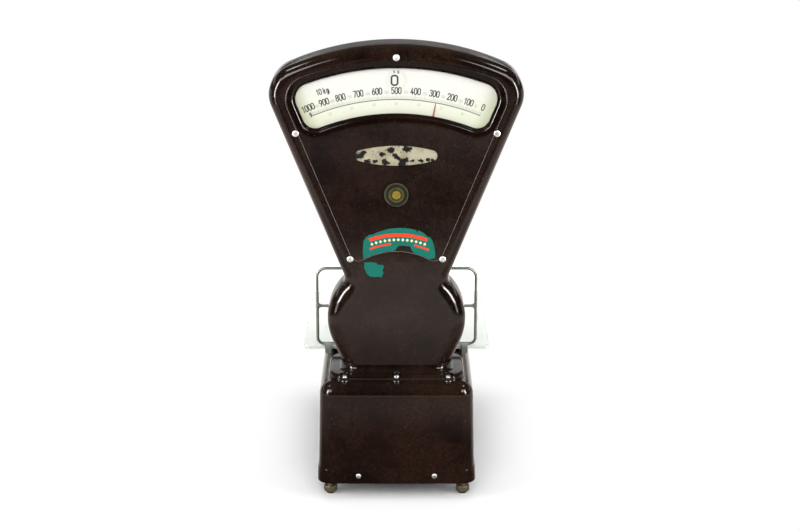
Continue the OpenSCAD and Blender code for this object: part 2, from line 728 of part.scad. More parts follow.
wire_r = wire_d / 2;
web_r = 3.5;
module guard_frame() {
    low_x = guard_hx - guard_low_r;
    top_x = guard_hx - guard_top_r;
    color(nickel) {
        x_rod(guard_y, guard_low_z, -low_x, low_x, wire_r);
        x_rod(guard_y, guard_top_z, -top_x, top_x, wire_r);
        x_rod(guard_y, guard_mid_z, -guard_hx, guard_hx, wire_r * 0.9);
        both_sides() {
            for (s = [-1, 1]) y_slab(concat(
                [[guard_hx, guard_mid_z], [guard_hx, guard_mid_z + s * (wire_r + web_r)]],
                arc([guard_hx - wire_r - web_r + 0.5, guard_mid_z + s * (wire_r + web_r)],
                    web_r, 0, -90 * s, 6),
                [[guard_hx - wire_r - web_r, guard_mid_z]]
            ), guard_y - wire_r * 0.7, guard_y + wire_r * 0.7);
            translate([guard_hx, guard_y, guard_low_z + guard_low_r])
                cylinder(r = wire_r, h = guard_top_z - guard_top_r - guard_low_z - guard_low_r);
            translate([top_x, guard_y, guard_top_z - guard_top_r]) rotate([90, 0, 0])
                rotate_extrude(angle = 90) translate([guard_top_r, 0]) circle(r = wire_r, $fn = 24);
            translate([low_x, guard_y, guard_low_z + guard_low_r]) rotate([90, 0, 0])
                rotate([0, 0, -90]) rotate_extrude(angle = 90) translate([guard_low_r, 0])
                    circle(r = wire_r, $fn = 24);
        }
    }
}
bracket_back = plate_y - carrier_hy;
module guard_brackets() {
    color(nickel) both_sides() difference() {
        union() {
            block(bracket_x - bracket_w / 2, bracket_x + bracket_w / 2, guard_y - wire_r - 2, bracket_back,
                carrier_z, carrier_top_z);
            block(bracket_x - bracket_w / 2, bracket_x + bracket_w / 2, guard_y - wire_r - 2,
                guard_y + wire_r + 1.6, carrier_z, guard_low_z + wire_r + 1.6);
        }
        x_rod(guard_y, guard_low_z, bracket_x - bracket_w, bracket_x + bracket_w, wire_r);
    }
}
yoke_x = 36;
bearing_w = 7;
column_foot = stay_z - 10;
stay_pin_r = 3;
module carrier_column() {
    color(steel) difference() {
        union() {
            translate([0, plate_y, column_foot]) cylinder(r = column_r, h = carrier_top_z - column_foot);
            block(-yoke_x, yoke_x, plate_y - 7, plate_y + 7, lever_z + 14, lever_z + 24);
            x_rod(plate_y, stay_z, -20, 20, stay_pin_r);
        }
        translate([0, plate_y, lever_z + 40]) cylinder(r = column_r - 3, h = 100);
    }
}

// Knife edges: an upright prism that bears along the x axis
knife_h = 7.5;
knife_hw = 4;
function knife(y, up) = let (base_z = lever_z - up * knife_h)
    [[y, lever_z], [y - knife_hw, base_z], [y + knife_hw, base_z]];
fork_y = fulcrum_y - 20;
arm_x = 42;
arm_w = 8;
lever_h = 10;
pin_r = 2.5;
module lever_body() {
    block(-7, 7, rod_y - 10, fork_y, lever_z - lever_h, lever_z + lever_h);
    block(-arm_x - arm_w / 2, arm_x + arm_w / 2, fork_y - 10, fork_y, lever_z - 8, lever_z + 8);
    both_sides()
        block(arm_x - arm_w / 2, arm_x + arm_w / 2, fork_y - 10, plate_y + 10, lever_z - 9, lever_z + 8);
    both_sides() x_rod(fulcrum_y, lever_z, arm_x - arm_w / 2 - 2, arm_x + arm_w / 2 + 2, 9.5);
    x_rod(damper_y, lever_z, -34, 0, pin_r);
    for (y = [poise_y - 24, poise_y + 18]) block(-4, 4, y, y + 6, lever_z + lever_h - 1, poise_z + 6);
    y_rod(0, poise_z, poise_y - 24, poise_y + 24, 3);
}
poise_y = 60;
poise_z = lever_z + 24;
module main_lever() {
    color(iron) difference() {
        lever_body();
        x_slab(knife(fulcrum_y, -1), -fulcrum_x, fulcrum_x);
        x_slab(knife(plate_y, 1), -fulcrum_x, fulcrum_x);
        x_slab(knife(rod_y, -1), -fulcrum_x, fulcrum_x);
    }
}
module fulcrum_knives() {
    color(steel) both_sides() x_slab(knife(fulcrum_y, -1), arm_x - arm_w / 2 - 4, fulcrum_x + 5);
}
module load_knives() {
    color(steel) both_sides() x_slab(knife(plate_y, 1), yoke_x - bearing_w - 2, arm_x + arm_w / 2 + 2);
}
module power_knife() {
    color(steel) x_slab(knife(rod_y, -1), -9, rod_x + 6);
}
module zero_poise() {
    color(brass_colour) difference() {
        y_rod(0, poise_z, poise_y - 8, poise_y + 8, 9);
        y_rod(0, poise_z, poise_y - 9, poise_y + 9, 3);
    }
}
// A bearing block with a notch that opens towards the knife
module bearing(x, y, up) {
    z = lever_z - up * edge_gap;
    far = z - up * 4.3;
    near = z + up * 3;
    x_slab([[y - 8, far], [y + 8, far], [y + 8, near], [y + 5.2, near], [y, z],
        [y - 5.2, near], [y - 8, near]],
        x - bearing_w / 2, x + bearing_w / 2);
}
stand_hw = 4;
module fulcrum_stand() {
    color(iron) difference() {
        both_sides() {
            block(fulcrum_x - stand_hw, fulcrum_x + stand_hw, fulcrum_y - 8, fulcrum_y + 8,
                frame_top_z, lever_z - edge_gap - 4.3);
            block(fulcrum_x - 12, fulcrum_x + 12, fulcrum_y - 16, fulcrum_y + 16,
                frame_top_z, frame_top_z + 5);
        }
        x_rod(fulcrum_y, stay_z, -80, 80, stay_pin_r);
    }
}
module fulcrum_bearings() {
    color(steel) both_sides() bearing(fulcrum_x, fulcrum_y, 1);
}
module load_bearings() {
    color(steel) both_sides() {
        bearing(yoke_x - bearing_w / 2, plate_y, -1);
        block(yoke_x - bearing_w, yoke_x, plate_y - 7, plate_y + 7, lever_z + edge_gap + 4.3, lever_z + 14);
    }
}
module stay_pin() {
    color(steel) x_rod(fulcrum_y, stay_z, -fulcrum_x - stand_hw - 2, fulcrum_x + stand_hw + 2, stay_pin_r);
}
link_x = 16;
module stay_link() {
    color(iron) difference() {
        union() {
            both_sides() {
                block(link_x - 2, link_x + 2, fulcrum_y, plate_y, stay_z - 6, stay_z + 6);
                x_rod(fulcrum_y, stay_z, link_x - 2, link_x + 2, 8);
                x_rod(plate_y, stay_z, link_x - 2, link_x + 2, 8);
            }
            x_rod(fulcrum_y, stay_z, -link_x, link_x, 6);
        }
        x_rod(fulcrum_y, stay_z, -link_x - 3, link_x + 3, stay_pin_r + run_gap);
        x_rod(plate_y, stay_z, -link_x - 3, link_x + 3, stay_pin_r + 0.6);
    }
}

// The connecting rod: a loop on the crank's pin, a stirrup on the power knife and the weights' pan
loop_t = 4;
pan_z = 41;
pan_t = 3;
module connecting_rod() {
    swing = crank_r * (1 - cos(rest_angle + 22.3)) + pin_r;
    color(steel) {
        difference() {
            block(rod_x - swing - 3.5, rod_x + pin_r + 3.5, rod_y - loop_t / 2, rod_y + loop_t / 2,
                pivot_z - 7, pivot_z + pin_r + edge_gap + 3);
            block(rod_x - swing - 0.8, rod_x + pin_r + 0.8, rod_y - loop_t, rod_y + loop_t,
                pivot_z - 4.2, pivot_z + pin_r + edge_gap);
        }
        translate([rod_x, rod_y, lever_z + 12]) cylinder(r = 2, h = pivot_z - 6 - lever_z - 12);
        difference() {
            block(rod_x - loop_t / 2, rod_x + loop_t / 2, rod_y - 9, rod_y + 9, lever_z - 4, lever_z + 13);
            block(rod_x - loop_t, rod_x + loop_t, rod_y - 6, rod_y + 6, lever_z - edge_gap, lever_z + 10);
        }
        translate([rod_x, rod_y, pan_z]) cylinder(r = 3, h = lever_z - 3.5 - pan_z);
        translate([rod_x, rod_y, pan_z]) cylinder(r = 30, h = pan_t);
    }
}

plate_gap = 10;
plate_thick = 3;
hub_r = 8;
hub_rim = 0.9;
module turned() {
    translate([0, 0, pivot_z]) rotate([0, rest_angle, 0]) children();
}
module pointer_shaft() {
    color(steel) y_rod(0, pivot_z, -pointer_y - hub_rim, pointer_y + hub_rim, shaft_r);
}
module pendulum() {
    color(steel) difference() {
        union() {
            y_rod(0, pivot_z, -8, 8, hub_r);
            block(0, crank_r, -2, 2, pivot_z - 4, pivot_z + 4);
            y_rod(crank_r, pivot_z, -2, rod_y + loop_t / 2 + 1, pin_r);
            turned() block(-3, 3, -7, -4, -bob_drop, -1);
        }
        y_rod(0, pivot_z, -9, 9, shaft_r);
        turned() y_rod(0, -bob_drop, -10, 5, bob_r);
    }
}
module pendulum_bob() {
    color(brass_colour) turned() y_rod(0, -bob_drop, -9, 1.5, bob_r);
}
// The needle, with its tail, in the plane y to y + pointer_t
module needle(y) {
    color("#7c2f1c") difference() {
        union() {
            turned() y_slab([[-3.5, -34], [3.5, -34], [3.4, 0], [1.6, pointer_len * 0.9],
                [0.5, pointer_len], [-0.5, pointer_len], [-1.6, pointer_len * 0.9], [-3.4, 0]],
                y, y + pointer_t);
            y_rod(0, pivot_z, y - hub_rim, y + pointer_t + hub_rim, 9);
        }
        y_rod(0, pivot_z, y - 3, y + pointer_t + 3, shaft_r);
    }
}
module pointer_front() {
    needle(-pointer_y);
}
module pointer_rear() {
    needle(pointer_y - pointer_t);
}

// The frame that carries the pointer's shaft stands on the deck inside the neck
leg_w = 11;
leg_h = 30;
leg_x1 = foot_hx - head_wall - 1;
leg_x0 = leg_x1 - leg_w;
arch_w = 16;
frame_head_z = pivot_z + 23;
bush_r = 8;
module mechanism_plate() {
    y_slab([[-leg_x1, deck_z], [-leg_x0, deck_z], [-leg_x0, deck_z + leg_h], [-arch_w, pivot_z - 14],
        [arch_w, pivot_z - 14], [leg_x0, deck_z + leg_h], [leg_x0, deck_z], [leg_x1, deck_z],
        [leg_x1, deck_z + leg_h + 5], [arch_w, frame_head_z], [-arch_w, frame_head_z],
        [-leg_x1, deck_z + leg_h + 5]], plate_gap, plate_gap + plate_thick);
}
module mechanism_frame() {
    color(steel) difference() {
        union() {
            for (s = [0, 1]) mirror([0, s, 0]) {
                mechanism_plate();
                both_sides() block(leg_x0, leg_x1, plate_gap, plate_gap + 12, deck_z, deck_z + plate_thick);
            }
            block(-leg_x0, leg_x0, plate_gap, plate_gap + plate_thick, kg_z - 9, kg_z + 9);
            both_sides() y_rod((leg_x0 + leg_x1) / 2, deck_z + 12, -plate_gap, plate_gap, 4);
            y_rod(0, frame_head_z - 5, -plate_gap, plate_gap, 4);
        }
        y_rod(0, pivot_z, -20, 20, bush_r);
        y_rod(kg_x, kg_z, 0, 20, kg_shaft_r + run_gap);
    }
}
module shaft_bearings() {
    color(brass_colour) for (s = [0, 1]) mirror([0, s, 0]) difference() {
        y_rod(0, pivot_z, plate_gap - 1, plate_gap + plate_thick, bush_r);
        y_rod(0, pivot_z, plate_gap - 2, plate_gap + plate_thick + 1, shaft_r + run_gap);
    }
}
axle_r = 3;
mast_y = plate_gap + plate_thick;
module disc_mast() {
    low = [0, frame_head_z - 6];
    top = [kg_x, disc_z];
    u = (top - low) / norm(top - low);
    v = [u[1], -u[0]] * 6;
    color(steel) difference() {
        for (s = [0, 1]) mirror([0, s, 0]) {
            y_slab([low - v - 6 * u, low + v - 6 * u, top + v, top - v], mast_y, mast_y + 3);
            y_rod(top[0], top[1], mast_y, mast_y + 3, 9);
        }
        y_rod(top[0], top[1], -30, 30, axle_r + run_gap);
    }
}

damper_x = -26;
module damper_cylinder() {
    z1 = 92;
    color(brass_colour) translate([damper_x, damper_y, frame_top_z]) difference() {
        union() {
            cylinder(r = damper_r + 2.5, h = z1 - frame_top_z);
            cylinder(r = damper_r + 8, h = 3);
        }
        translate([0, 0, 4]) cylinder(r = damper_r, h = z1 - frame_top_z - 8);
        translate([0, 0, 4]) cylinder(r = 2.6, h = 100);
    }
}
module damper_piston() {
    color(steel) {
        translate([damper_x, damper_y, 60]) cylinder(r = damper_r - 0.8, h = 8);
        translate([damper_x, damper_y, 60]) cylinder(r = 2, h = lever_z - 5 - 60);
        difference() {
            block(damper_x - 2, damper_x + 2, damper_y - 7, damper_y + 7, lever_z - 7, lever_z + 7);
            block(damper_x - 3, damper_x + 3, damper_y - 4, damper_y + 4,
                lever_z - pin_r - edge_gap, lever_z + pin_r + edge_gap);
        }
    }
}

// Kilogram selector: knob, shaft, two chains, number discs and the camshaft
kg_shaft_r = 4;
chain_y = 19;
cam_chain_y = chain_y + 5.6;
sprocket_t = 3;
chain_gap = 0.3;
chain_t = 1.6;
module sprocket(x, z, y) {
    teeth = 16;
    points = [for (i = [0:2 * teeth - 1])
        let (r = i % 2 == 0 ? sprocket_r : sprocket_r - 1.8, a = 180 * i / teeth) polar([x, z], r, a)];
    y_slab(points, y, y + sprocket_t);
}
module kg_knob() {
    y0 = face_y + 1.2;
    color("#1b1716") difference() {
        union() {
            y_rod(kg_x, kg_z, y0, y0 + 4, knob_r);
            y_rod(kg_x, kg_z, y0 + 4, y0 + 15, knob_r - 6);
        }
        for (a = [0:36:324]) {
            p = polar([kg_x, kg_z], knob_r - 2.4, a);
            y_rod(p[0], p[1], y0 + 4, y0 + 16, 6);
        }
        y_rod(kg_x, kg_z, y0 - 1, y0 + 12, kg_shaft_r);
    }
}
module kg_shaft() {
    color(steel) {
        y_rod(kg_x, kg_z, plate_gap - 1, face_y + 13.2, kg_shaft_r);
        sprocket(kg_x, kg_z, chain_y);
        sprocket(kg_x, kg_z, cam_chain_y);
    }
}
detent_r = 11;
detent_y = plate_gap + plate_thick + 0.5;
module detent_wheel() {
    notches = [for (i = [0:39]) let (q = i % 4)
        polar([kg_x, kg_z], q == 0 ? detent_r - 2.5 : detent_r, 90 + 9 * i)];
    color(steel) difference() {
        y_slab(notches, detent_y, detent_y + 3);
        y_rod(kg_x, kg_z, detent_y - 1, detent_y + 4, kg_shaft_r);
    }
}
module detent_spring() {
    y0 = plate_gap + plate_thick;
    color(steel) {
        block(kg_x + 14, kg_x + 22, y0, y0 + 4, kg_z - 8, kg_z + 8);
        block(kg_x - 4, kg_x + 16, y0 + 0.5, y0 + 4, kg_z + detent_r + 3.3, kg_z + detent_r + 4.3);
        block(kg_x + 15, kg_x + 16, y0 + 0.5, y0 + 4, kg_z, kg_z + detent_r + 4.3);
        y_rod(kg_x, kg_z + detent_r + 1.8, y0 + 0.5, y0 + 4, 1.5);
    }
}
// An endless chain round two sprockets of one size
module chain(p, q, y) {
    l = norm(q - p);
    inner = sprocket_r + chain_gap;
    outer = inner + chain_t;
    translate([p[0], y, p[1]]) rotate([0, 90 - ang(q, p), 0]) difference() {
        union() {
            y_rod(0, 0, 0.3, 2.7, outer);
            y_rod(0, l, 0.3, 2.7, outer);
            block(-outer, outer, 0.3, 2.7, 0, l);
        }
        y_rod(0, 0, 0, 3, inner);
        y_rod(0, l, 0, 3, inner);
        block(-inner, inner, 0, 3, 0, l);
    }
}
module number_chain() {
    color(steel) chain([kg_x, kg_z], [kg_x, disc_z], chain_y);
}
module cam_chain() {
    color(steel) chain([kg_x, kg_z], [cam_x, cam_z], cam_chain_y);
}
module number_axle() {
    color(steel) {
        y_rod(kg_x, disc_z, -disc_y - 0.2, disc_y + 0.2, axle_r);
        sprocket(kg_x, disc_z, chain_y);
    }
}
disc_y = dial_y - dial_t - 0.8;
disc_t = 0.8;
module number_discs() {
    color(cream) for (s = [0, 1]) mirror([0, s, 0]) difference() {
        y_rod(kg_x, disc_z, -disc_y, -disc_y + disc_t, disc_r);
        y_rod(kg_x, disc_z, -disc_y - 1, -disc_y + 2, axle_r);
    }
}
cam_y = 13;
module camshaft() {
    fall = 16;
    spiral = [for (a = [0:12:348])
        polar([0, 0], a <= 324 ? cam_r - fall * a / 324 : cam_r - fall + fall * (a - 324) / 36, 90 + a)];
    color(steel) {
        y_rod(cam_x, cam_z, -16, 42, 5);
        translate([cam_x, 0, cam_z]) y_slab(spiral, cam_y - 3, cam_y + 3);
        sprocket(cam_x, cam_z, cam_chain_y);
    }
}
module cam_brackets() {
    color(iron) difference() {
        for (y = [-12, 33]) {
            block(cam_x - 12, cam_x + 12, y, y + 6, frame_top_z, cam_z + 12);
            block(cam_x - 16, cam_x + 16, y - 6, y + 12, frame_top_z, frame_top_z + 4);
        }
        y_rod(cam_x, cam_z, -30, 60, 5 + run_gap);
    }
}
// The weights are parked on the lifter's prongs, clear of the rod and of its pan
parked_z = pan_z + pan_t + 18.5;
post_x = rod_x - weight_r - 16;
post_r = 5;
prong_t = 1.5;
lifter_top = parked_z + weight_pitch * weight_count;
module weight_lifter() {
    color(iron) {
        difference() {
            union() {
                translate([post_x, rod_y, frame_top_z]) cylinder(r = 12, h = 4);
                translate([post_x, rod_y, frame_top_z]) cylinder(r = 9, h = lifter_top - frame_top_z);
                block(cam_x - 5, post_x, cam_y - 4, cam_y + 4, cam_z + cam_r + edge_gap, cam_z + cam_r + 8);
                for (i = [0:weight_count - 1]) {
                    z = parked_z + i * weight_pitch;
                    block(post_x - 9, post_x + 9, rod_y - 34, rod_y + 34, z - prong_t, z);
                    for (y = [rod_y - 34, rod_y + 24])
                        block(post_x, rod_x + 36, y, y + 10, z - prong_t, z);
                }
            }
            translate([post_x, rod_y, frame_top_z - 1]) cylinder(r = post_r, h = lifter_top);
        }
        translate([post_x, rod_y, frame_top_z])
            cylinder(r = post_r - 0.1, h = lifter_top + 8 - frame_top_z);
    }
}
module kilogram_weights() {
    color(iron) for (i = [0:weight_count - 1])
        translate([rod_x, rod_y, parked_z + i * weight_pitch]) difference() {
            union() {
                cylinder(r = weight_r, h = weight_pitch - prong_t - 0.7);
                cylinder(r = 20, h = weight_pitch - 0.5);
            }
            translate([0, 0, -1]) cylinder(r = 8, h = 10);
        }
}

module spirit_level() {
    color("#9fae6a") {
        translate([level_x, level_y, deck_z - base_wall]) cylinder(r = level_r, h = base_wall);
        translate([level_x, level_y, deck_z]) cylinder(r = level_r + 2, h = 1);
        translate([level_x, level_y, deck_z + 1]) cylinder(r = level_r - 3, h = 0.6);
    }
}

module in_frame() {
    translate([0, -mid_y, 0]) children();
}
in_frame() base_casing();
in_frame() base_frame();
in_frame() head_front_shell();
in_frame() head_rear_shell();
in_frame() front_cover();
in_frame() rear_cover();
in_frame() front_glass();
in_frame() rear_glass();
in_frame() front_dial();
in_frame() rear_dial();
in_frame() name_plate();
in_frame() badge();
in_frame() cover_screws();
in_frame() flange_screws();
in_frame() plinth_screws();
in_frame() foot(-foot_x, foot_ys[0]);  // foot_front_left
in_frame() foot(foot_x, foot_ys[0]);  // foot_front_right
in_frame() foot(-foot_x, foot_ys[1]);  // foot_rear_left
in_frame() foot(foot_x, foot_ys[1]);  // foot_rear_right
in_frame() goods_plate();
in_frame() plate_carrier();
in_frame() plate_buffers();
in_frame() guard_frame();
in_frame() guard_brackets();
in_frame() carrier_column();
in_frame() main_lever();
in_frame() fulcrum_knives();
in_frame() fulcrum_stand();
in_frame() fulcrum_bearings();
in_frame() load_knives();
in_frame() load_bearings();
in_frame() power_knife();
in_frame() zero_poise();
in_frame() stay_link();
in_frame() stay_pin();
in_frame() connecting_rod();
in_frame() pointer_shaft();
in_frame() pendulum();
in_frame() pendulum_bob();
in_frame() pointer_front();
in_frame() pointer_rear();
in_frame() mechanism_frame();
in_frame() shaft_bearings();
in_frame() disc_mast();
in_frame() damper_cylinder();
in_frame() damper_piston();
in_frame() kg_knob();
in_frame() kg_shaft();
in_frame() detent_wheel();
in_frame() detent_spring();
in_frame() number_chain();
in_frame() cam_chain();
in_frame() number_axle();
in_frame() number_discs();
in_frame() camshaft();
in_frame() cam_brackets();
in_frame() weight_lifter();
in_frame() kilogram_weights();
in_frame() spirit_level();
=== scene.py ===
import json
import math
import random
from math import cos, pi, radians, sin, sqrt

import bmesh
import bpy
from mathutils import Matrix, Vector
from mathutils.geometry import tessellate_polygon


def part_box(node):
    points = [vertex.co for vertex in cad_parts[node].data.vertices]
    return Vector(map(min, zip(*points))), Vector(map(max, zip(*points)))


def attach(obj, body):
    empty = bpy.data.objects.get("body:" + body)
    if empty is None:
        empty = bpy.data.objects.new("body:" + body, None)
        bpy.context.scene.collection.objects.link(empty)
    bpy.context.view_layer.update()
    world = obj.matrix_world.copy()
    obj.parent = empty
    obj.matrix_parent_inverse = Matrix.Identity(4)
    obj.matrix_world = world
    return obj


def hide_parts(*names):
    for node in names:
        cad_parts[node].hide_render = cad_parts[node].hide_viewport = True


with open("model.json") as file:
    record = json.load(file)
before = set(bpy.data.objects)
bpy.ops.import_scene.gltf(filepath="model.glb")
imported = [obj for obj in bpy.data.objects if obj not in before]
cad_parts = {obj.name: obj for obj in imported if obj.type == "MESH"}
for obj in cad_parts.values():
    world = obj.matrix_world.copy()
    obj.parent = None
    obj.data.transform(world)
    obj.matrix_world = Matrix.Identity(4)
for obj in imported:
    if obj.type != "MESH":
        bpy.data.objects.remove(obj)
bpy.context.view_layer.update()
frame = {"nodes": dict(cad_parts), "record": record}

scene = bpy.context.scene

# Points are written in millimetres from the head's mid-plane, as in the part's source, and turned into
# metres of the shared frame when a mesh is made.
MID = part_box("head_front_shell")[1].y * 1000


def to_row(p):
    return Vector((p[0], p[1] + MID, p[2])) / 1000


def add_object(name, data):
    obj = bpy.data.objects.new(name, data)
    scene.collection.objects.link(obj)
    return obj


# Camera

cam_data = bpy.data.cameras.new("camera")
cam_data.lens = 75.96
cam_data.sensor_width = 36
cam_data.clip_end = 50
camera = add_object("camera", cam_data)
camera.location = to_row((5.6, -2568, 1129))
camera.rotation_euler = (radians(90 - 16.5), 0, 0)
scene.camera = camera
scene.view_settings.view_transform = "Standard"


# Sizes, the same as in the part's source

FACE, DEPTH, ROUND_Y = 38, 18, 20
HEAD_HX, PIVOT_Z = 195.2, 303
SIDE = radians(22.05)
SIDE_D = Vector((sin(SIDE), cos(SIDE)))
SIDE_N = Vector((-cos(SIDE), sin(SIDE)))
TOP_R, CORNER_R = 422.3, 48.5
CORNER_X = HEAD_HX - CORNER_R
CORNER_C = Vector((CORNER_X, PIVOT_Z + sqrt((TOP_R - CORNER_R) ** 2 - CORNER_X ** 2)))
SIDE_P = CORNER_C + CORNER_R * Vector((cos(SIDE), -sin(SIDE)))
BULGE_HX, BULGE_Z = 109.4, 288.5
UPPER_R, LOWER_R, WAIST_R = 80, 99, 15
UPPER_C = Vector((BULGE_HX - UPPER_R, BULGE_Z))
LOWER_C = Vector((BULGE_HX - LOWER_R, BULGE_Z))
FOOT_ANGLE = radians(24)
COVE = 11
EASE = 0.0011
DECK_Z, PAD_Z = 194.4, 203
PAD_HX, PAD_HY, PAD_R = 108, 58, 28
BASE_LOW_Z, BASE_ROUND_Z = 28.6, 174.4
BASE_HX, BASE_FRONT, BASE_REAR, BASE_R, BASE_EDGE_R = 121.5, 78, 335, 21, 20
FLANGE_X, FLANGE_Y, POCKET_Z = (-82, 0, 82), 50, 198.4
WIN_INSET, COVER_INSET = 38, 23
COVER_TOP_Z, COVER_LOW_Z, COVER_LOW_R, COVER_FOOT_R = 702.4, 401.4, 105, 14
LEDGE, GAP, SEAT_Y = 6, 0.3, 34
SCREW_OUT, SIDE_SCREW_Z = 3.2, 588.8
DIAL_Y, DIAL_BACK_Y, HOLE_Z, HOLE_R = 26.2, 25.2, 668.7, 11
KNOB, DISC, LEVEL = (-38, 238), (-38, 640), (80, 85)
NAME_Z, BADGE_Z = 554.4, 492.8
PLINTH_SCREW_X, PLINTH_SCREW_Z = 60.6, 41.6
PLATE_HX, PLATE_FRONT, PLATE_REAR, PLATE_R = 153, 67, 367, 8
GUARD_Y, GUARD_HX, BRACKET_X = 62, 129.5, 112.1
LEVELLER_X, LEVELLER_Y = 106.6, (-51, 308)
REST = radians(10.3)


def polar(c, r, a):
    return Vector((c[0] + r * cos(a), c[1] + r * sin(a)))


def angle(p, c):
    return math.atan2(p[1] - c[1], p[0] - c[0])


def arc(c, r, a0, a1, n):
    return [polar(c, r, a0 + (a1 - a0) * i / n) for i in range(n + 1)]


def quarter_turn(n):
    """sin and 1 - cos of angles from 0 to 90 degrees in n steps, for rounded edges."""
    return [(sin(pi / 2 * k / n), 1 - cos(pi / 2 * k / n)) for k in range(n + 1)]


def circle(r, n, x=0.0, y=0.0):
    return [(x + r * cos(2 * pi * i / n), y + r * sin(2 * pi * i / n)) for i in range(n)]


def at_y(points, y):
    """Points (x, z) of the dial's plane, set at depth y."""
    return [(p[0], y, p[1]) for p in points]


def meet(q, d, c, r):
    """Where the line from q along d leaves the circle of radius r round c."""
    w = q - c
    b = w.dot(d)
    return q + d * (sqrt(b * b - w.dot(w) + r * r) - b)


def smooth_step(t):
    t = min(1.0, max(0.0, t))
    return t * t * (3 - 2 * t)


WAIST_C = meet(SIDE_P - WAIST_R * SIDE_N, SIDE_D, UPPER_C, UPPER_R + WAIST_R)
FOOT_TOP = polar(LOWER_C, LOWER_R, -FOOT_ANGLE)
FOOT_HX = FOOT_TOP.x - (FOOT_TOP.y - DECK_Z) * math.tan(FOOT_ANGLE)


def skin_arc(c, r, a0, a1, n, s=1):
    """An arc of the outline as (x, z, outward x, outward z); s is -1 where it is hollow."""
    out = []
    for i in range(n + 1):
        a = a0 + (a1 - a0) * i / n
        p = polar(c, r, a)
        out.append((p.x, p.y, s * cos(a), s * sin(a)))
    return out


def head_skin():
    """The head's outline as (x, z, outward x, outward z), from the right foot over to the left."""
    half = [(FOOT_HX + (FOOT_TOP.x - FOOT_HX) * t, DECK_Z + (FOOT_TOP.y - DECK_Z) * t,
             cos(FOOT_ANGLE), -sin(FOOT_ANGLE)) for t in (0, 0.25, 0.5, 0.75)]
    half += skin_arc(LOWER_C, LOWER_R, -FOOT_ANGLE, 0, 12)
    half += skin_arc(UPPER_C, UPPER_R, 0, angle(WAIST_C, UPPER_C), 14)[1:]
    half += skin_arc(WAIST_C, WAIST_R, angle(UPPER_C, WAIST_C) + 2 * pi, pi - SIDE, 14, -1)[1:]
    a, b = half[-1], skin_arc(CORNER_C, CORNER_R, -SIDE, 0, 1)[0]
    half += [tuple(a[k] + (b[k] - a[k]) * i / 16 for k in range(2)) + (b[2], b[3]) for i in range(1, 16)]
    half += skin_arc(CORNER_C, CORNER_R, -SIDE, angle(CORNER_C, (0, PIVOT_Z)), 22)
    half += skin_arc((0, PIVOT_Z), TOP_R, angle(CORNER_C, (0, PIVOT_Z)), pi / 2, 22)[1:]
    return half + [(-x, z, -nx, nz) for x, z, nx, nz in reversed(half[:-1])]


SKIN = head_skin()


def edge_at(z):
    """How far the head's edge is rounded back: more below the waist than above it."""
    return 15 + 8.5 * smooth_step((WAIST_C.y + 20 - z) / 40)


def crown(y):
    """How far the head's top lies below its crest, which runs a little in front of the middle."""
    return (y + 3) ** 2 / (330 if y < -3 else 1400)


def head_ring(inset, f, y, side):
    """The outline at depth y, set in by inset and by the share f of the rounded edge."""
    out = []
    top = crown(side * min(y, ROUND_Y))
    for x, z, nx, nz in SKIN:
        d = inset + f * edge_at(z) + top * smooth_step(nz * 2)
        out.append((x - nx * d, side * y, z - nz * d))
    return out


def side_x(z, inset):
    return SIDE_P.x + (z - SIDE_P.y) * math.tan(SIDE) - inset / cos(SIDE)


def fan(inset, top_z, top_r, upper_r, bottom_z, bottom_r, lower_r, off=0.0):
    """A fan with rounded corners, this far inside the head's flanks and grown by off."""
    top_c, bottom_c = Vector((0, top_z - top_r)), Vector((0, bottom_z - bottom_r))
    up = meet(SIDE_P + SIDE_N * (inset + upper_r), SIDE_D, top_c, top_r - upper_r)
    low = meet(SIDE_P + SIDE_N * (inset + lower_r), SIDE_D, bottom_c, bottom_r + lower_r)
    half = arc(bottom_c, bottom_r - off, pi / 2, angle(low, bottom_c), 22)
    half += arc(low, lower_r + off, angle(low, bottom_c) - pi, -SIDE, 14)[1:]
    a, b = half[-1], polar(up, upper_r + off, -SIDE)
    half += [a.lerp(b, i / 8) for i in range(1, 8)]
    half += arc(up, upper_r + off, -SIDE, angle(up, top_c), 16)
    half += arc(top_c, top_r + off, angle(up, top_c), pi / 2, 22)[1:]
    return half + [Vector((-p.x, p.y)) for p in reversed(half[1:-1])]


def window(off=0.0):
    return fan(WIN_INSET, top_z=688.4, top_r=403, upper_r=24, bottom_z=619.1, bottom_r=321, lower_r=20,
               off=off)


def cover(off=0.0):
    return fan(COVER_INSET, COVER_TOP_Z, 417, 38, COVER_LOW_Z, COVER_LOW_R, COVER_FOOT_R, off)


COVER_LOW_C = Vector((0, COVER_LOW_Z - COVER_LOW_R))
COVER_FOOT_C = meet(SIDE_P + SIDE_N * (COVER_INSET + COVER_FOOT_R), SIDE_D, COVER_LOW_C,
                    COVER_LOW_R + COVER_FOOT_R)
LOW_SCREW = polar(COVER_FOOT_C, COVER_FOOT_R + SCREW_OUT, radians(-40))
SIDE_SCREW_X = side_x(SIDE_SCREW_Z, COVER_INSET - SCREW_OUT)
COVER_SCREWS = [
    (0, COVER_TOP_Z + SCREW_OUT), (SIDE_SCREW_X, SIDE_SCREW_Z), (-SIDE_SCREW_X, SIDE_SCREW_Z),
    (LOW_SCREW.x, LOW_SCREW.y), (-LOW_SCREW.x, LOW_SCREW.y),
]


# Node helpers for the materials and the world

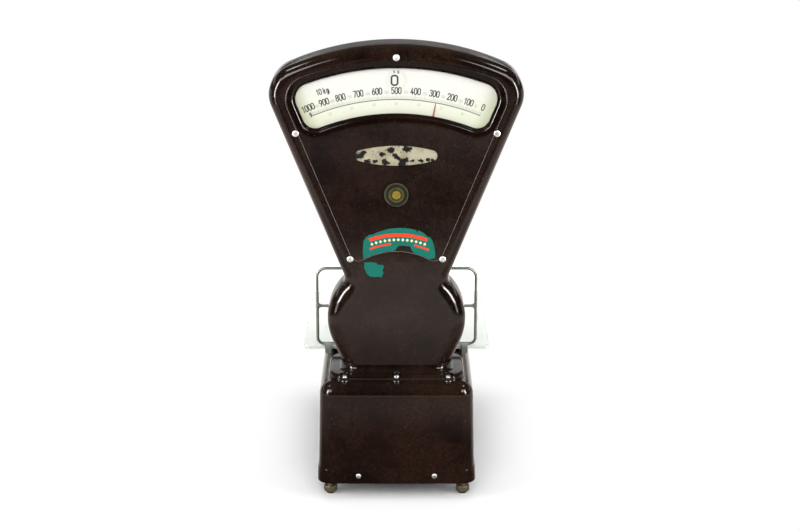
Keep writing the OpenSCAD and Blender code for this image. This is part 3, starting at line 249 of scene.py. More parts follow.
class Graph:
    """The shader nodes of a material or a world."""

    SOCKETS = {"base": "Base Color", "rough": "Roughness", "metal": "Metallic", "alpha": "Alpha",
               "specular": "Specular IOR Level"}

    def __init__(self, owner, space="Object"):
        owner.use_nodes = True
        self.owner = owner
        self.nodes = owner.node_tree.nodes
        self.links = owner.node_tree.links
        self.bsdf = self.nodes.get("Principled BSDF")
        self.coord = self.add("ShaderNodeTexCoord").outputs[space]
        self.relief = None

    def add(self, kind, inputs=None, **values):
        """A new node, with its properties and then its input sockets set."""
        node = self.nodes.new(kind)
        for key, value in values.items():
            setattr(node, key, value)
        for socket, value in (inputs or {}).items():
            self.feed(node.inputs[socket], value)
        return node

    def feed(self, socket, value):
        if isinstance(value, bpy.types.NodeSocket):
            self.links.new(value, socket)
        else:
            socket.default_value = value

    def noise(self, scale, detail=3.0, rough=0.55, vector=None):
        sockets = {"Vector": vector or self.coord, "Scale": scale, "Detail": detail, "Roughness": rough}
        return self.add("ShaderNodeTexNoise", sockets).outputs["Fac"]

    def cells(self, scale):
        return self.add("ShaderNodeTexVoronoi", {"Vector": self.coord, "Scale": scale}).outputs["Distance"]

    def math(self, op, a, b=0.0):
        return self.add("ShaderNodeMath", {0: a, 1: b}, operation=op).outputs[0]

    def plus(self, a, b):
        return self.math("ADD", a, b)

    def minus(self, a, b):
        return self.math("SUBTRACT", a, b)

    def times(self, a, b):
        return self.math("MULTIPLY", a, b)

    def most(self, a, b):
        return self.math("MAXIMUM", a, b)

    def hypot(self, a, b):
        return self.math("SQRT", self.plus(self.times(a, a), self.times(b, b)))

    def span(self, value, a, b, low=0.0, high=1.0):
        """A smooth step of value from a to b, between low and high."""
        sockets = {"Value": value, "From Min": a, "From Max": b, "To Min": low, "To Max": high}
        return self.add("ShaderNodeMapRange", sockets, interpolation_type="SMOOTHSTEP").outputs["Result"]

    def mix(self, factor, a, b):
        sockets = {"Factor": factor, 6: colour(a), 7: colour(b)}
        return self.add("ShaderNodeMix", sockets, data_type="RGBA").outputs[2]

    def axis(self, which, source=None):
        return self.add("ShaderNodeSeparateXYZ", {0: source or self.coord}).outputs[which]

    def normal(self, which):
        return self.axis(which, self.add("ShaderNodeNewGeometry").outputs["Normal"])

    def stretched(self, x, y, z):
        return self.add("ShaderNodeMapping", {"Vector": self.coord, "Scale": (x, y, z)}).outputs[0]

    def bump(self, height, strength, distance):
        sockets = {"Strength": strength, "Distance": distance, "Height": height}
        if self.relief is not None:
            sockets["Normal"] = self.relief
        self.relief = self.add("ShaderNodeBump", sockets).outputs[0]
        self.feed(self.bsdf.inputs["Normal"], self.relief)

    def set(self, **values):
        for key, value in values.items():
            self.feed(self.bsdf.inputs[self.SOCKETS[key]], colour(value))


M = {}


def material(paint):
    """Turns a function that fills in a graph into one that adds a material to M, under its slot's name."""
    def make(name, *values, slot=None, **options):
        g = Graph(bpy.data.materials.new(name))
        paint(g, *values, **options)
        M[slot or name] = g.owner
    return make


def colour(value):
    """An sRGB colour of 0 to 255 as a linear RGBA colour; anything but a tuple is left as it is."""
    if not isinstance(value, tuple):
        return value
    out = []
    for c in value:
        c = c / 255
        out.append(c / 12.92 if c <= 0.04045 else ((c + 0.055) / 1.055) ** 2.4)
    return (*out, 1.0)


@material
def bakelite(g, dark=(6, 3, 2), light=(42, 27, 20), speck=0.95, specular=0.27):
    """Worn brown bakelite: a fine mottle in broad clouds, reddish patches, pale specks and dust on top."""
    cloud = g.span(g.noise(11, 5, 0.6), 0.36, 0.66)
    mottle = g.span(g.noise(170, 5, 0.8), 0.38, 0.64)
    fine = g.span(g.noise(620, 3, 0.7), 0.45, 0.62)
    share = g.plus(g.times(cloud, 0.5), g.plus(g.times(mottle, 0.32), g.times(fine, 0.18)))
    base = g.mix(g.times(share, speck), dark, light)
    reddish = g.span(g.noise(28, 4, 0.6), 0.45, 0.75)
    base = g.mix(g.times(reddish, 0.35), base, (28, 11, 6))
    up = g.span(g.normal("Z"), 0.25, 0.95)
    dusty = g.times(up, g.span(g.noise(45, 5, 0.7), 0.25, 0.7, 0.35, 1.0))
    base = g.mix(g.times(dusty, 0.22), base, (48, 40, 32))
    dots = g.span(g.cells(230), 0.05, 0.16, 1.0, 0.0)
    rare = g.span(g.noise(70, 2, 0.5), 0.52, 0.64)
    base = g.mix(g.times(g.times(dots, rare), 0.4), base, (140, 118, 98))
    settled = g.times(g.span(g.axis("Z"), 0.69, 0.715), g.span(g.normal("Z"), 0.8, 0.95, 0.0, 0.26))
    rough = g.plus(g.span(g.noise(30, 5, 0.6), 0.3, 0.75, 0.07, 0.14), g.times(dusty, 0.05))
    g.set(base=base, specular=specular, rough=g.plus(rough, settled))
    g.bump(g.noise(420, 4, 0.6), 0.03, 0.0004)
    g.bump(g.noise(34, 2, 0.5), 0.04, 0.002)


@material
def metal(g, tone, rough=0.3, metallic=1.0, grain=(1, 1, 1), wear=0.25, dirt=(40, 36, 30)):
    worn = g.span(g.noise(60, 5, 0.65), 0.42, 0.72)
    fine = g.noise(600, 3, 0.6, vector=g.stretched(*grain))
    base = g.mix(g.times(worn, wear), tone, dirt)
    base = g.mix(g.times(fine, 0.15), base, (225, 225, 220))
    g.set(base=base, metal=metallic, rough=g.plus(g.times(worn, 0.18), rough))
    g.bump(fine, 0.12, 0.0003)


@material
def cast_iron(g, tone):
    base = g.mix(g.span(g.noise(40, 5, 0.6), 0.35, 0.7), tone, tuple(c * 0.6 for c in tone))
    g.set(base=base, metal=0.2, rough=g.span(g.noise(90, 4, 0.6), 0.3, 0.7, 0.5, 0.75))
    g.bump(g.noise(520, 4, 0.7), 0.35, 0.0006)


@material
def rubber(g):
    g.set(base=g.mix(g.noise(120, 4, 0.6), (24, 24, 23), (44, 43, 40)),
          rough=g.span(g.noise(60), 0.3, 0.7, 0.7, 0.9))
    g.bump(g.noise(700, 3, 0.6), 0.2, 0.0003)


@material
def dial_enamel(g):
    """Aged cream enamel, yellower low down, with painted greenish shade near the window's sides where the
    frame shades it.
    """
    z = g.axis("Z")
    base = g.mix(g.span(z, 0.600, 0.668, 1.0, 0.0), (252, 251, 244), (244, 247, 222))
    # Painted shade: greenish towards the window's slanted sides, where the frame shades the dial
    slope = g.minus(g.math("ABSOLUTE", g.axis("X")), g.times(g.minus(z, 0.640), 0.405))
    base = g.mix(g.times(g.span(slope, 0.130, 0.152), 0.6), base, (206, 208, 170))
    foxing = g.span(g.noise(90, 5, 0.7), 0.6, 0.8)
    base = g.mix(g.times(foxing, 0.16), base, (215, 205, 160))
    g.set(base=base, rough=g.span(g.noise(70), 0.3, 0.7, 0.3, 0.42))
    g.bump(g.noise(300, 2, 0.5), 0.03, 0.0003)


@material
def ink(g, tone, fade):
    worn = g.span(g.noise(700, 3, 0.7), 0.5, 0.8)
    g.set(base=g.mix(g.times(worn, fade), tone, (250, 249, 235)),
          rough=g.span(g.noise(200), 0.3, 0.7, 0.4, 0.55))


@material
def clear_glass(g):
    """Clear flat glass: mostly see-through, with the gloss rising at a slant and faint smears."""
    facing = g.add("ShaderNodeLayerWeight", {"Blend": 0.35})
    smear = g.span(g.noise(22, 4, 0.6, vector=g.stretched(1, 1, 3)), 0.45, 0.8)
    gloss = g.times(g.math("POWER", facing.outputs["Fresnel"], 2.0), 0.5)
    g.set(base=(20, 24, 22), alpha=g.plus(g.plus(gloss, 0.012), g.times(smear, 0.008)),
          rough=g.times(smear, 0.12))
    g.owner.surface_render_method = "BLENDED"


@material
def opal(g):
    base = g.mix(g.span(g.noise(12, 3, 0.5), 0.3, 0.7), (225, 231, 223), (218, 225, 216))
    scratch = g.span(g.noise(260, 4, 0.7, vector=g.stretched(1, 0.06, 1)), 0.55, 0.75)
    base = g.mix(g.times(scratch, 0.25), base, (200, 206, 192))
    g.set(base=base, rough=g.plus(g.times(scratch, 0.2), 0.08))
    g.bump(scratch, 0.03, 0.0002)


@material
def level(g):
    """Brass rim, green spirit, a bubble and the ring that marks its place."""
    r = g.hypot(g.minus(g.axis("X"), LEVEL[0] / 1000), g.minus(g.axis("Y"), LEVEL[1] / 1000 + MID / 1000))
    spirit = g.span(r, 0.0076, 0.0082, 1.0, 0.0)
    bubble = g.span(r, 0.0024, 0.0030, 1.0, 0.0)
    mark = g.times(g.span(r, 0.0036, 0.0038), g.span(r, 0.0041, 0.0043, 1.0, 0.0))
    base = g.mix(spirit, g.mix(g.noise(200), (128, 112, 66), (96, 84, 52)), (176, 196, 92))
    base = g.mix(bubble, base, (226, 236, 186))
    base = g.mix(mark, base, (30, 34, 20))
    g.set(base=base, metal=g.minus(0.9, g.times(spirit, 0.9)), rough=g.minus(0.4, g.times(spirit, 0.34)))


# Bare patches of the name plate as (x, z, radius) from its middle
SPOTS = [
    (-58, 0, 11), (-44, -9, 7), (-51, 5, 7), (-33, -9, 6), (-23, 3, 9), (-17, -10, 9), (-8, 9, 9), (2, -3, 7),
    (8, -12, 9), (16, 10, 11), (13, -7, 8), (25, -8, 5), (37, -8, 7), (48, -6, 5), (56, -7, 5), (-2, 1, 6),
]


@material
def name_enamel(g):
    """Cream paint flaked off in patches, down to the black plate."""
    x = g.times(g.axis("X"), 1000.0)
    z = g.minus(g.times(g.axis("Z"), 1000.0), NAME_Z)
    rag = g.times(g.minus(g.noise(170, 5, 0.7), 0.5), 2.6)
    bare = None
    for sx, sz, sr in SPOTS:
        dx = g.math("DIVIDE", g.minus(x, float(sx)), float(sr))
        dz = g.math("DIVIDE", g.minus(z, float(sz)), float(sr) * 0.7)
        d = g.minus(1.0, g.hypot(dx, dz))
        bare = d if bare is None else g.most(bare, d)
    small = g.span(g.noise(140, 6, 0.75), 0.60, 0.64)
    bare = g.most(g.span(g.plus(bare, rag), 0.28, 0.36), small)
    paint = g.mix(g.span(g.noise(60, 4, 0.6), 0.35, 0.7), (166, 160, 136), (140, 133, 108))
    g.set(base=g.mix(bare, paint, (12, 9, 8)), specular=0.15,
          rough=g.span(g.noise(90), 0.3, 0.7, 0.4, 0.6))
    g.bump(g.minus(1.0, bare), 0.5, 0.0002)


@material
def badge_enamel(g):
    """Rings of green enamel and brass, from the rim to the middle."""
    r = g.times(g.hypot(g.axis("X"), g.minus(g.axis("Z"), BADGE_Z / 1000)), 1000.0)
    base = g.mix(g.span(r, 16.9, 17.3), (24, 30, 16), (74, 70, 46))
    for edge, tone in ((11.6, (96, 88, 28)), (9.6, (56, 52, 18)), (6.2, (134, 114, 36))):
        base = g.mix(g.span(r, edge, edge + 0.4, 1.0, 0.0), base, tone)
    grime = g.span(g.noise(160, 5, 0.7), 0.4, 0.7)
    base = g.mix(g.times(grime, 0.55), base, (30, 27, 20))
    g.set(base=base, metal=0.55, rough=g.span(g.noise(120), 0.3, 0.7, 0.32, 0.5))
    g.bump(g.noise(500, 3, 0.6), 0.15, 0.0003)


@material
def decal(g, tone, pale):
    """Faded print with fine dark cracks."""
    worn = g.span(g.noise(240, 5, 0.75), 0.55, 0.75)
    base = g.mix(g.times(worn, 0.3), tone, pale)
    cracks = g.noise(60, 6, 0.7, vector=g.stretched(2.2, 1, 0.7))
    crack = g.times(g.span(cracks, 0.5, 0.503), g.span(cracks, 0.503, 0.508, 1.0, 0.0))
    base = g.mix(g.times(crack, 0.7), base, (22, 20, 18))
    g.set(base=base, specular=0.15, rough=g.span(g.noise(120), 0.3, 0.7, 0.35, 0.5))
    g.bump(g.noise(200, 4, 0.6), 0.15, 0.0003)


# The materials of the slots, and those of single pieces that share a slot

bakelite("bakelite")
bakelite("bakelite_base", light=(40, 25, 18))
# Painted shade for the bezel's sunk steps: a darker, less glossy copy of the bakelite
bakelite("bakelite_bezel", dark=(7, 4, 3), light=(22, 13, 9), specular=0.12)
# The joints' pale colour: dust, and on the shells' joint partly a painted highlight
metal("seam_dust", (92, 80, 74), rough=0.6, metallic=0.0, wear=0.8, dirt=(30, 22, 18), slot="seam")
bakelite("knob_phenolic", dark=(16, 13, 12), light=(34, 29, 26), speck=0.5, slot="knob")
cast_iron("grey_iron", (84, 86, 88))
clear_glass("clear_glass")
opal("opal_glass")
dial_enamel("dial_enamel", slot="cream_enamel")
name_enamel("name_paint", slot="name_enamel")
badge_enamel("badge_enamel")
metal("bright_screw", (222, 221, 220), rough=0.34, wear=0.15)
metal("wire_steel", (116, 122, 112), rough=0.4, metallic=0.8, wear=0.55, dirt=(64, 68, 58))
rubber("rubber")
metal("steel", (176, 178, 180), grain=(1, 0.05, 1))
metal("brass", (186, 152, 84), rough=0.28)
metal("red_needle", (190, 108, 76), rough=0.4, metallic=0.0, wear=0.5, dirt=(140, 52, 30))
metal("worn_brass", (112, 100, 74), rough=0.5, wear=0.6, dirt=(58, 52, 38))
level("level_spirit", slot="level_glass")
ink("ink", (48, 49, 44), 0.3)
ink("ink_grey", (188, 190, 180), 0.2)
ink("ink_line", (84, 90, 80), 0.25)
ink("ink_red", (232, 196, 176), 0.2)
ink("ink_green", (206, 212, 176), 0.2)
decal("decal_teal", (8, 104, 91), (30, 124, 107))
decal("decal_orange", (222, 62, 32), (232, 140, 92))
decal("decal_cream", (238, 226, 176), (214, 190, 130))

for part in frame["record"]["subparts"]:
    node = frame["nodes"][part["node"]]
    node.data.materials.clear()
    node.data.materials.append(M[part["material_slot"]])


# Mesh helpers

def finish(name, mesh, *materials, body="housing", replaces=(), slot=None, angle_deg=32, weighted=True):
    """A mesh made into a named piece with these materials; the slot argument is not used."""
    if len(mesh.materials):
        mesh.materials.clear()
    for m in materials:
        mesh.materials.append(M[m])
    mesh.shade_smooth()
    mesh.set_sharp_from_angle(angle=radians(angle_deg))
    obj = add_object(name, mesh)
    if weighted:
        mod = obj.modifiers.new("weighted", "WEIGHTED_NORMAL")
        mod.keep_sharp = True
        mod.weight = 90
    if replaces:
        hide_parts(*replaces)
    slot = slot or materials[0]
    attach(obj, body)


class Shape:
    """Vertices in millimetres and faces, gathered ring by ring."""

    def __init__(self):
        self.verts, self.faces, self.mats = [], [], []

    def ring(self, points):
        start = len(self.verts)
        self.verts += [tuple(p) for p in points]
        return list(range(start, start + len(points)))

    def face(self, *ids, mat=0):
        self.faces.append(tuple(ids))
        self.mats.append(mat)

    def bridge(self, a, b, closed=True, mat=0):
        n = len(a)
        for i in range(n if closed else n - 1):
            j = (i + 1) % n
            self.face(a[i], a[j], b[j], b[i], mat=mat)

    def rings(self, rings, closed=True):
        ids = [self.ring(r) for r in rings]
        for a, b in zip(ids, ids[1:]):
            self.bridge(a, b, closed)
        return ids

    def rod(self, rings):
        """Rings joined to a solid, with a face at each end."""
        ids = self.rings(rings)
        self.face(*reversed(ids[0]))
        self.face(*ids[-1])

    def fill(self, *loops, mat=0):
        """Triangles between an outer loop of vertex numbers and the loops inside it."""
        flat = [i for loop in loops for i in loop]
        for t in tessellate_polygon([[Vector(self.verts[i]) for i in loop] for loop in loops]):
            self.face(*[flat[i] for i in t], mat=mat)

    def box(self, x0, x1, y0, y1, z0, z1):
        v = self.ring([(x, y, z) for z in (z0, z1) for y in (y0, y1) for x in (x0, x1)])
        for f in ((0, 2, 3, 1), (4, 5, 7, 6), (0, 1, 5, 4), (2, 6, 7, 3), (0, 4, 6, 2), (1, 3, 7, 5)):
            self.face(*[v[i] for i in f])

    def raw(self, name, place=to_row):
        mesh = bpy.data.meshes.new(name)
        mesh.from_pydata([place(v) for v in self.verts], [], self.faces)
        mesh.polygons.foreach_set("material_index", self.mats)
        mesh.update()
        return mesh

    def mesh(self, name="cutter"):
        """The shape in the shared frame, with doubles merged and its faces turned outwards."""
        mesh = self.raw(name)
        bm = bmesh.new()
        bm.from_mesh(mesh)
        bmesh.ops.remove_doubles(bm, verts=bm.verts, dist=1e-6)
        bmesh.ops.recalc_face_normals(bm, faces=bm.faces)
        bm.to_mesh(mesh)
        bm.free()
        return mesh

    def make(self, name, *materials, **options):
        finish(name, self.mesh(name), *materials, **options)


def boolean(mesh, cutters, ease=0.0):
    """mesh minus the cutter meshes, with its sharp edges eased by that much."""
    obj = add_object("cut", mesh)
    made = [obj]
    for cutter in cutters:
        tool = add_object("tool", cutter)
        made.append(tool)
        mod = obj.modifiers.new("cut", "BOOLEAN")
        mod.operation, mod.solver, mod.object = "DIFFERENCE", "EXACT", tool
    if ease:
        mod = obj.modifiers.new("ease", "BEVEL")
        mod.width, mod.segments, mod.limit_method, mod.angle_limit = ease, 3, "ANGLE", radians(38)
    dg = bpy.context.evaluated_depsgraph_get()
    out = bpy.data.meshes.new_from_object(obj.evaluated_get(dg), depsgraph=dg)
    for o in made:
        bpy.data.objects.remove(o)
    return out


def lathe(profile, place, n=48):
    """A turned form; profile lists (radius, height) and place maps (x, y, height) to a point."""
    s = Shape()
    s.rod([[place(x, y, h) for x, y in circle(r, n)] for r, h in profile])
    return s


def fluted(profile, cut, place, n):
    """A turned form whose radius changes by the profile's third value times cut(angle)."""
    s = Shape()
    turn = [2 * pi * i / n for i in range(n)]
    s.rod([[place((r + f * cut(a)) * cos(a), (r + f * cut(a)) * sin(a), h) for a in turn]
           for r, h, f in profile])
    return s


# The head: two half shells, with a seam strip between them

def head_shell(name, side, node):
    s = Shape()
    profile = [(0.9, 0, 0.0), (0.3, 0, 0.25), (0.0, 0, 0.9), (0.0, 0, 10.0)]
    profile += [(0, v, ROUND_Y + DEPTH * u) for u, v in quarter_turn(14)]
    outer = s.rings([head_ring(i, f, y, side) for i, f, y in profile], closed=False)
    opening = s.rings([at_y(cover(off), side * y) for off, y in (
        (0.7, FACE), (0.25, 37.85), (0.0, 37.4), (0.0, SEAT_Y), (-LEDGE, SEAT_Y), (-LEDGE, 30))])
    s.fill(outer[-1], opening[0])
    inner = s.rings([head_ring(i, 0, y, side) for i, y in ((10, 30), (10, 20.5), (6, 20), (6, 0.0))],
                    closed=False)
    s.fill(inner[0], opening[-1])
    s.bridge(inner[-1], outer[0], closed=False)
    s.make(name, "bakelite", replaces=(node,))


head_shell("head_front", -1, "head_front_shell")
head_shell("head_rear", 1, "head_rear_shell")

# A pale strip in the joint between the shells: dust in the joint, and partly a painted highlight along the
# head's crest and sides
seam = Shape()
seam.rings([head_ring(i, 0, y, 1) for i, y in (
    (1.6, -0.5), (0.35, -0.5), (0.1, 0.0), (0.04, 0.6), (0.1, 1.2), (0.35, 1.7), (1.6, 1.7))], closed=False)
seam.make("seam_strip", "seam", slot="bakelite")


def rrect(hx, y0, y1, rx, ry, z, n=8):
    """A level rectangle with rounded corners, from the right side's rear end, counter-clockwise."""
    out = []
    x, low, high = hx - rx, y0 + ry, y1 - ry
    for cx, cy, a0 in ((x, high, 0), (-x, high, 90), (-x, low, 180), (x, low, 270)):
        for k in range(n + 1):
            a = radians(a0 + 90 * k / n)
            out.append((cx + rx * cos(a), cy + ry * sin(a), z))
    return out


def neck_half(z):
    if z < FOOT_TOP.y:
        return FOOT_TOP.x - (FOOT_TOP.y - z) * math.tan(FOOT_ANGLE)
    return LOWER_C.x + sqrt(LOWER_R ** 2 - (z - LOWER_C.y) ** 2)


def flange_pocket(x, side):
    """A round-ended slot from a flange screw outwards, widening at its top edge."""
    pocket = Shape()
    slot = [(cos(pi * k / 20), -sin(pi * k / 20)) for k in range(21)] + [(-1, 14), (1, 14)]
    steps = ((7.7, POCKET_Z), (7.7, 201.6), (8.0, 202.5), (8.7, PAD_Z + 0.01), (8.7, 230))
    ids = pocket.rings([[(x + r * px, side * (FLANGE_Y + py * (r if py < 0 else 1)), z) for px, py in slot]
                        for r, z in steps])
    pocket.face(*ids[0])
    pocket.face(*ids[-1])
    return pocket.mesh()


def neck_foot():
    """The flange and the cove that rises from it into the neck."""
    s = Shape()
    rings = [rrect(PAD_HX, -PAD_HY, PAD_HY, PAD_R, PAD_R, DECK_Z - 0.2)]
    for u, v in quarter_turn(8):
        d = 5 * v
        rings.append(rrect(PAD_HX - d, d - PAD_HY, PAD_HY - d, PAD_R - d, PAD_R - d, 198 + 5 * u))
    for u, v in quarter_turn(14):
        c, z = COVE * (1 - u), PAD_Z + COVE * v
        rings.append(rrect(neck_half(z) + c, -FACE - c, FACE + c, 23 + c * 0.5, 18 + c * 0.9, z))
    rings.append(rrect(neck_half(222) - 3, -FACE + 3, FACE - 3, 19, 16, 222))
    ids = s.rings(rings)
    inner = s.rings([rrect(72, -29, 29, 8, 8, 222), rrect(72, -29, 29, 8, 8, DECK_Z - 0.2)])
    s.bridge(ids[-1], inner[0])
    s.bridge(inner[-1], ids[0])
    mesh = boolean(s.mesh(), [flange_pocket(x, side) for x in FLANGE_X for side in (-1, 1)], EASE)
    finish("neck_foot", mesh, "bakelite", replaces=("head_front_shell", "head_rear_shell"))


neck_foot()


# The covers: a plain panel, the sunk bezel round the window and the lip that holds the glass

# Steps of the window's frame as (distance from the opening, y), and those that keep the panel's bakelite; the
# rest are painted shade, a darker, less glossy bakelite for the recess round the window
BEZEL = [
    (15.0, 38.0), (14.3, 38.02), (14.0, 38.3), (13.5, 38.68), (12.9, 38.75), (12.2, 38.6), (9.0, 37.95),
    (6.0, 37.3), (5.3, 37.05), (4.5, 36.62), (3.6, 36.1), (2.6, 35.2), (1.6, 33.9), (0.8, 32.8), (0.3, 32.0),
    (0.0, 31.4), (0.0, 31.0), (6.0, 31.0), (6.0, SEAT_Y),
]
PANEL_TONE_STEPS = (0, 1, 2, 3, 4, 7, 8, 9)


def head_cover(name, side, node):
    s = Shape()
    rim = s.rings([at_y(cover(off), side * y) for off, y in (
        (-4, SEAT_Y), (-GAP, SEAT_Y), (-GAP, 37.4), (-GAP - 0.2, 37.85), (-GAP - 0.6, FACE))])
    bezel = [s.ring(at_y(window(off), side * y)) for off, y in BEZEL]
    s.fill(rim[-1], bezel[0])
    for k, (a, b) in enumerate(zip(bezel, bezel[1:])):
        # Steps not listed get the bezel's painted shade
        s.bridge(a, b, mat=0 if k in PANEL_TONE_STEPS else 1)
    s.fill(rim[0], bezel[-1])
    s.make(name, "bakelite", "bakelite_bezel", replaces=(node,))


def seam_line(name, side):
    """Dust in the joint round a cover."""
    s = Shape()
    ribbon(s, cover(-0.15), True, 0.28, lambda q: (q.x, side * (FACE + 0.04), q.y), 0)
    s.make(name, "seam", slot="bakelite", weighted=False)


head_cover("cover_front", -1, "front_cover")
head_cover("cover_rear", 1, "rear_cover")


# The base

def base_ring(inset, z, out=0.0):
    """The base's outline at height z, flaring a little towards the ground."""
    flare = 3.5 * max(0.0, (BASE_ROUND_Z - z) / (BASE_ROUND_Z - BASE_LOW_Z)) + out
    r = max(0.8, BASE_R - inset + out)
    return rrect(BASE_HX + flare - inset, -BASE_FRONT - flare + inset, BASE_REAR + flare - inset, r, r, z, 12)


def base():
    """The casing: open below, with openings under the head, for the column and for the spirit level."""
    s = Shape()
    plinth = ((BASE_LOW_Z, 0.9), (29.2, 1.4), (50.1, 1.4), (50.6, 1.2), (50.9, 0.7), (51.0, 0.25),
              (51.5, 0.05))
    rings = [base_ring(0, z, out) for z, out in plinth]
    rings += [base_ring(0, z) for z in (52.4, 80, 110, 140, 165)]
    rings += [base_ring(BASE_EDGE_R * v, BASE_ROUND_Z + BASE_EDGE_R * u) for u, v in quarter_turn(16)]
    ids = s.rings(rings)
    s.fill(ids[-1])
    inner = s.rings([base_ring(*wall) for wall in ((20, 189.4), (9, 184.4), (5, 170), (5, BASE_LOW_Z))])
    s.face(*inner[0])
    s.bridge(inner[-1], ids[0])
    hatch = Shape()
    hatch.box(-64, 48, -24, 31, 180, 200)
    cutters = [hatch.mesh()]
    for cx, cy, r in ((0, 217, 14), (*LEVEL, 11.1)):
        cutters.append(lathe([(r, 180), (r, 200)], lambda x, y, h: (cx + x, cy + y, h)).mesh())
    scallop = [(8.5 * sin(pi * k / 16), 196.4 - 8.5 * cos(pi * k / 16)) for k in range(1, 16)]
    for cx in FLANGE_X:
        cutters.append(lathe(scallop, lambda x, y, h: (cx + x, y - 64, h), 40).mesh())
    finish("base_body", boolean(s.mesh(), cutters, EASE), "bakelite_base", replaces=("base_casing",),
           slot="bakelite")


base()


# Screws, each turned and slotted

def screw_mesh(head_r, head_h, shank_r, shank, slot_w=1.3, slot_d=1.2):
    """A domed head with a slot, in millimetres, seated at z = 0."""
    dome = [(shank_r, -shank), (shank_r, 0), (head_r, 0), (head_r, head_h * 0.35)]
    dome += [(head_r * cos(a) * 0.98, head_h * (0.35 + 0.65 * sin(a)))
             for a in (pi / 2 * k / 8 for k in range(1, 8))]
    slot = Shape()
    slot.box(-head_r - 1, head_r + 1, -slot_w / 2, slot_w / 2, head_h - slot_d, head_h + 2)
    return boolean(lathe(dome, lambda *p: p, 36).raw("screw", Vector), [slot.raw("slot", Vector)])


def screws(name, master, places, node):
    """Copies of the master screw; places lists (point, direction, turn)."""
    bm = bmesh.new()
    for p, way, turn in places:
        part = master.copy()
        m = Matrix.Translation(to_row(p)) @ Vector(way).to_track_quat("Z", "Y").to_matrix().to_4x4()
        part.transform(m @ Matrix.Rotation(turn, 4, "Z") @ Matrix.Scale(0.001, 4))
        bm.from_mesh(part)
    mesh = bpy.data.meshes.new(name)
    bm.to_mesh(mesh)
    bm.free()
    finish(name, mesh, "bright_screw", replaces=(node,))


turns = [0.15, 1.9, 0.75, 2.5, 0.6]
screws("cover_screw_heads", screw_mesh(5.1, 1.7, 2.1, 7, 1.1, 0.9),
       [((x, side * FACE, z), (0, side, 0), turn * (1 if side < 0 else 1.7))
        for side in (-1, 1) for turn, (x, z) in zip(turns, COVER_SCREWS)], "cover_screws")
screws("flange_screw_heads", screw_mesh(4.5, 2.4, 2.7, 8),
       [((x, side * FLANGE_Y, POCKET_Z), (0, 0, 1), 0.6 + x * 0.02 + side)
        for side in (-1, 1) for x in FLANGE_X], "flange_screws")
screws("plinth_screw_heads", screw_mesh(4.2, 1.8, 1.9, 7, 1.1, 0.9),
       [((x, y, PLINTH_SCREW_Z), (0, side, 0), 0.4 + x * 0.013)
        for x in (-PLINTH_SCREW_X, PLINTH_SCREW_X) for y, side in ((-82.9, -1), (339.9, 1))],
       "plinth_screws")


# Dial lettering, drawn with ribbons in the dial's plane

def g_arc(cx, cy, rx, ry, a0, a1, n=12):
    turn = [radians(a0 + (a1 - a0) * i / n) for i in range(n + 1)]
    return [(cx + rx * cos(a), cy + ry * sin(a)) for a in turn]


def oval(cx, cy, rx, ry, n=20):
    return True, g_arc(cx, cy, rx, ry, 0, 360, n)[:-1]


def line(*points):
    return False, list(points)


# Each glyph is a list of (closed, points) on a cell 1 wide and 2 high
GLYPHS = {
    "0": [(True, g_arc(0.5, 1.5, 0.5, 0.5, 0, 180) + g_arc(0.5, 0.5, 0.5, 0.5, 180, 360))],
    "1": [line((0.12, 1.55), (0.55, 2.0), (0.55, 0))],
    "2": [line(*g_arc(0.5, 1.5, 0.48, 0.5, 175, -25), (0.0, 0.0), (1.0, 0.0))],
    "3": [line(*g_arc(0.48, 1.53, 0.45, 0.47, 160, -80)[:-1], *g_arc(0.48, 0.56, 0.5, 0.56, 85, -160))],
    "4": [line((0.62, 2.0), (0.0, 0.5), (1.0, 0.5)), line((0.72, 1.1), (0.72, 0))],
    "5": [line((0.92, 2.0), (0.14, 2.0), (0.08, 1.08), *g_arc(0.47, 0.62, 0.52, 0.62, 125, -150))],
    "6": [oval(0.5, 0.6, 0.5, 0.6), line((0.02, 0.7), (0.2, 1.35), (0.72, 2.0))],
    "7": [line((0.02, 2.0), (0.98, 2.0), (0.36, 0))],
    "8": [oval(0.5, 1.54, 0.42, 0.46, 18), oval(0.5, 0.54, 0.5, 0.54)],
    "9": [oval(0.5, 1.4, 0.5, 0.6), line((0.98, 1.3), (0.8, 0.65), (0.28, 0.0))],
    "k": [line((0.08, 0), (0.08, 2.0)), line((0.8, 1.35), (0.1, 0.6)), line((0.36, 0.86), (0.86, 0))],
    "g": [oval(0.45, 0.72, 0.4, 0.6, 18),
          line((0.85, 1.32), (0.85, -0.2), *g_arc(0.45, -0.2, 0.4, 0.4, 0, -150, 8))],
}
GLYPH_STEP = 1.42
ADVANCE = {" ": 0.6, "1": 1.25}


def ribbon(s, pts, closed, half, place, mat):
    """A flat band of half-width half along pts, with mitred corners; place maps a point to its position."""
    pts = [Vector(p) for p in pts]
    n = len(pts)
    left, right = [], []
    for i, p in enumerate(pts):
        a = pts[i - 1] if i or closed else None
        b = pts[(i + 1) % n] if i < n - 1 or closed else None
        d0 = (p - a).normalized() if a is not None else (b - p).normalized()
        d1 = (b - p).normalized() if b is not None else d0
        t = d0 + d1
        t = t.normalized() if t.length > 1e-6 else d0
        normal = Vector((-t.y, t.x))
        reach = half / max(0.45, normal.dot(Vector((-d1.y, d1.x))))
        end = Vector((0, 0))
        if not closed and i in (0, n - 1):
            end = t * (half * (-1 if i == 0 else 1)) * 0.8
        left.append(place(p + normal * reach + end))
        right.append(place(p - normal * reach + end))
    s.bridge(s.ring(left), s.ring(right), closed, mat)


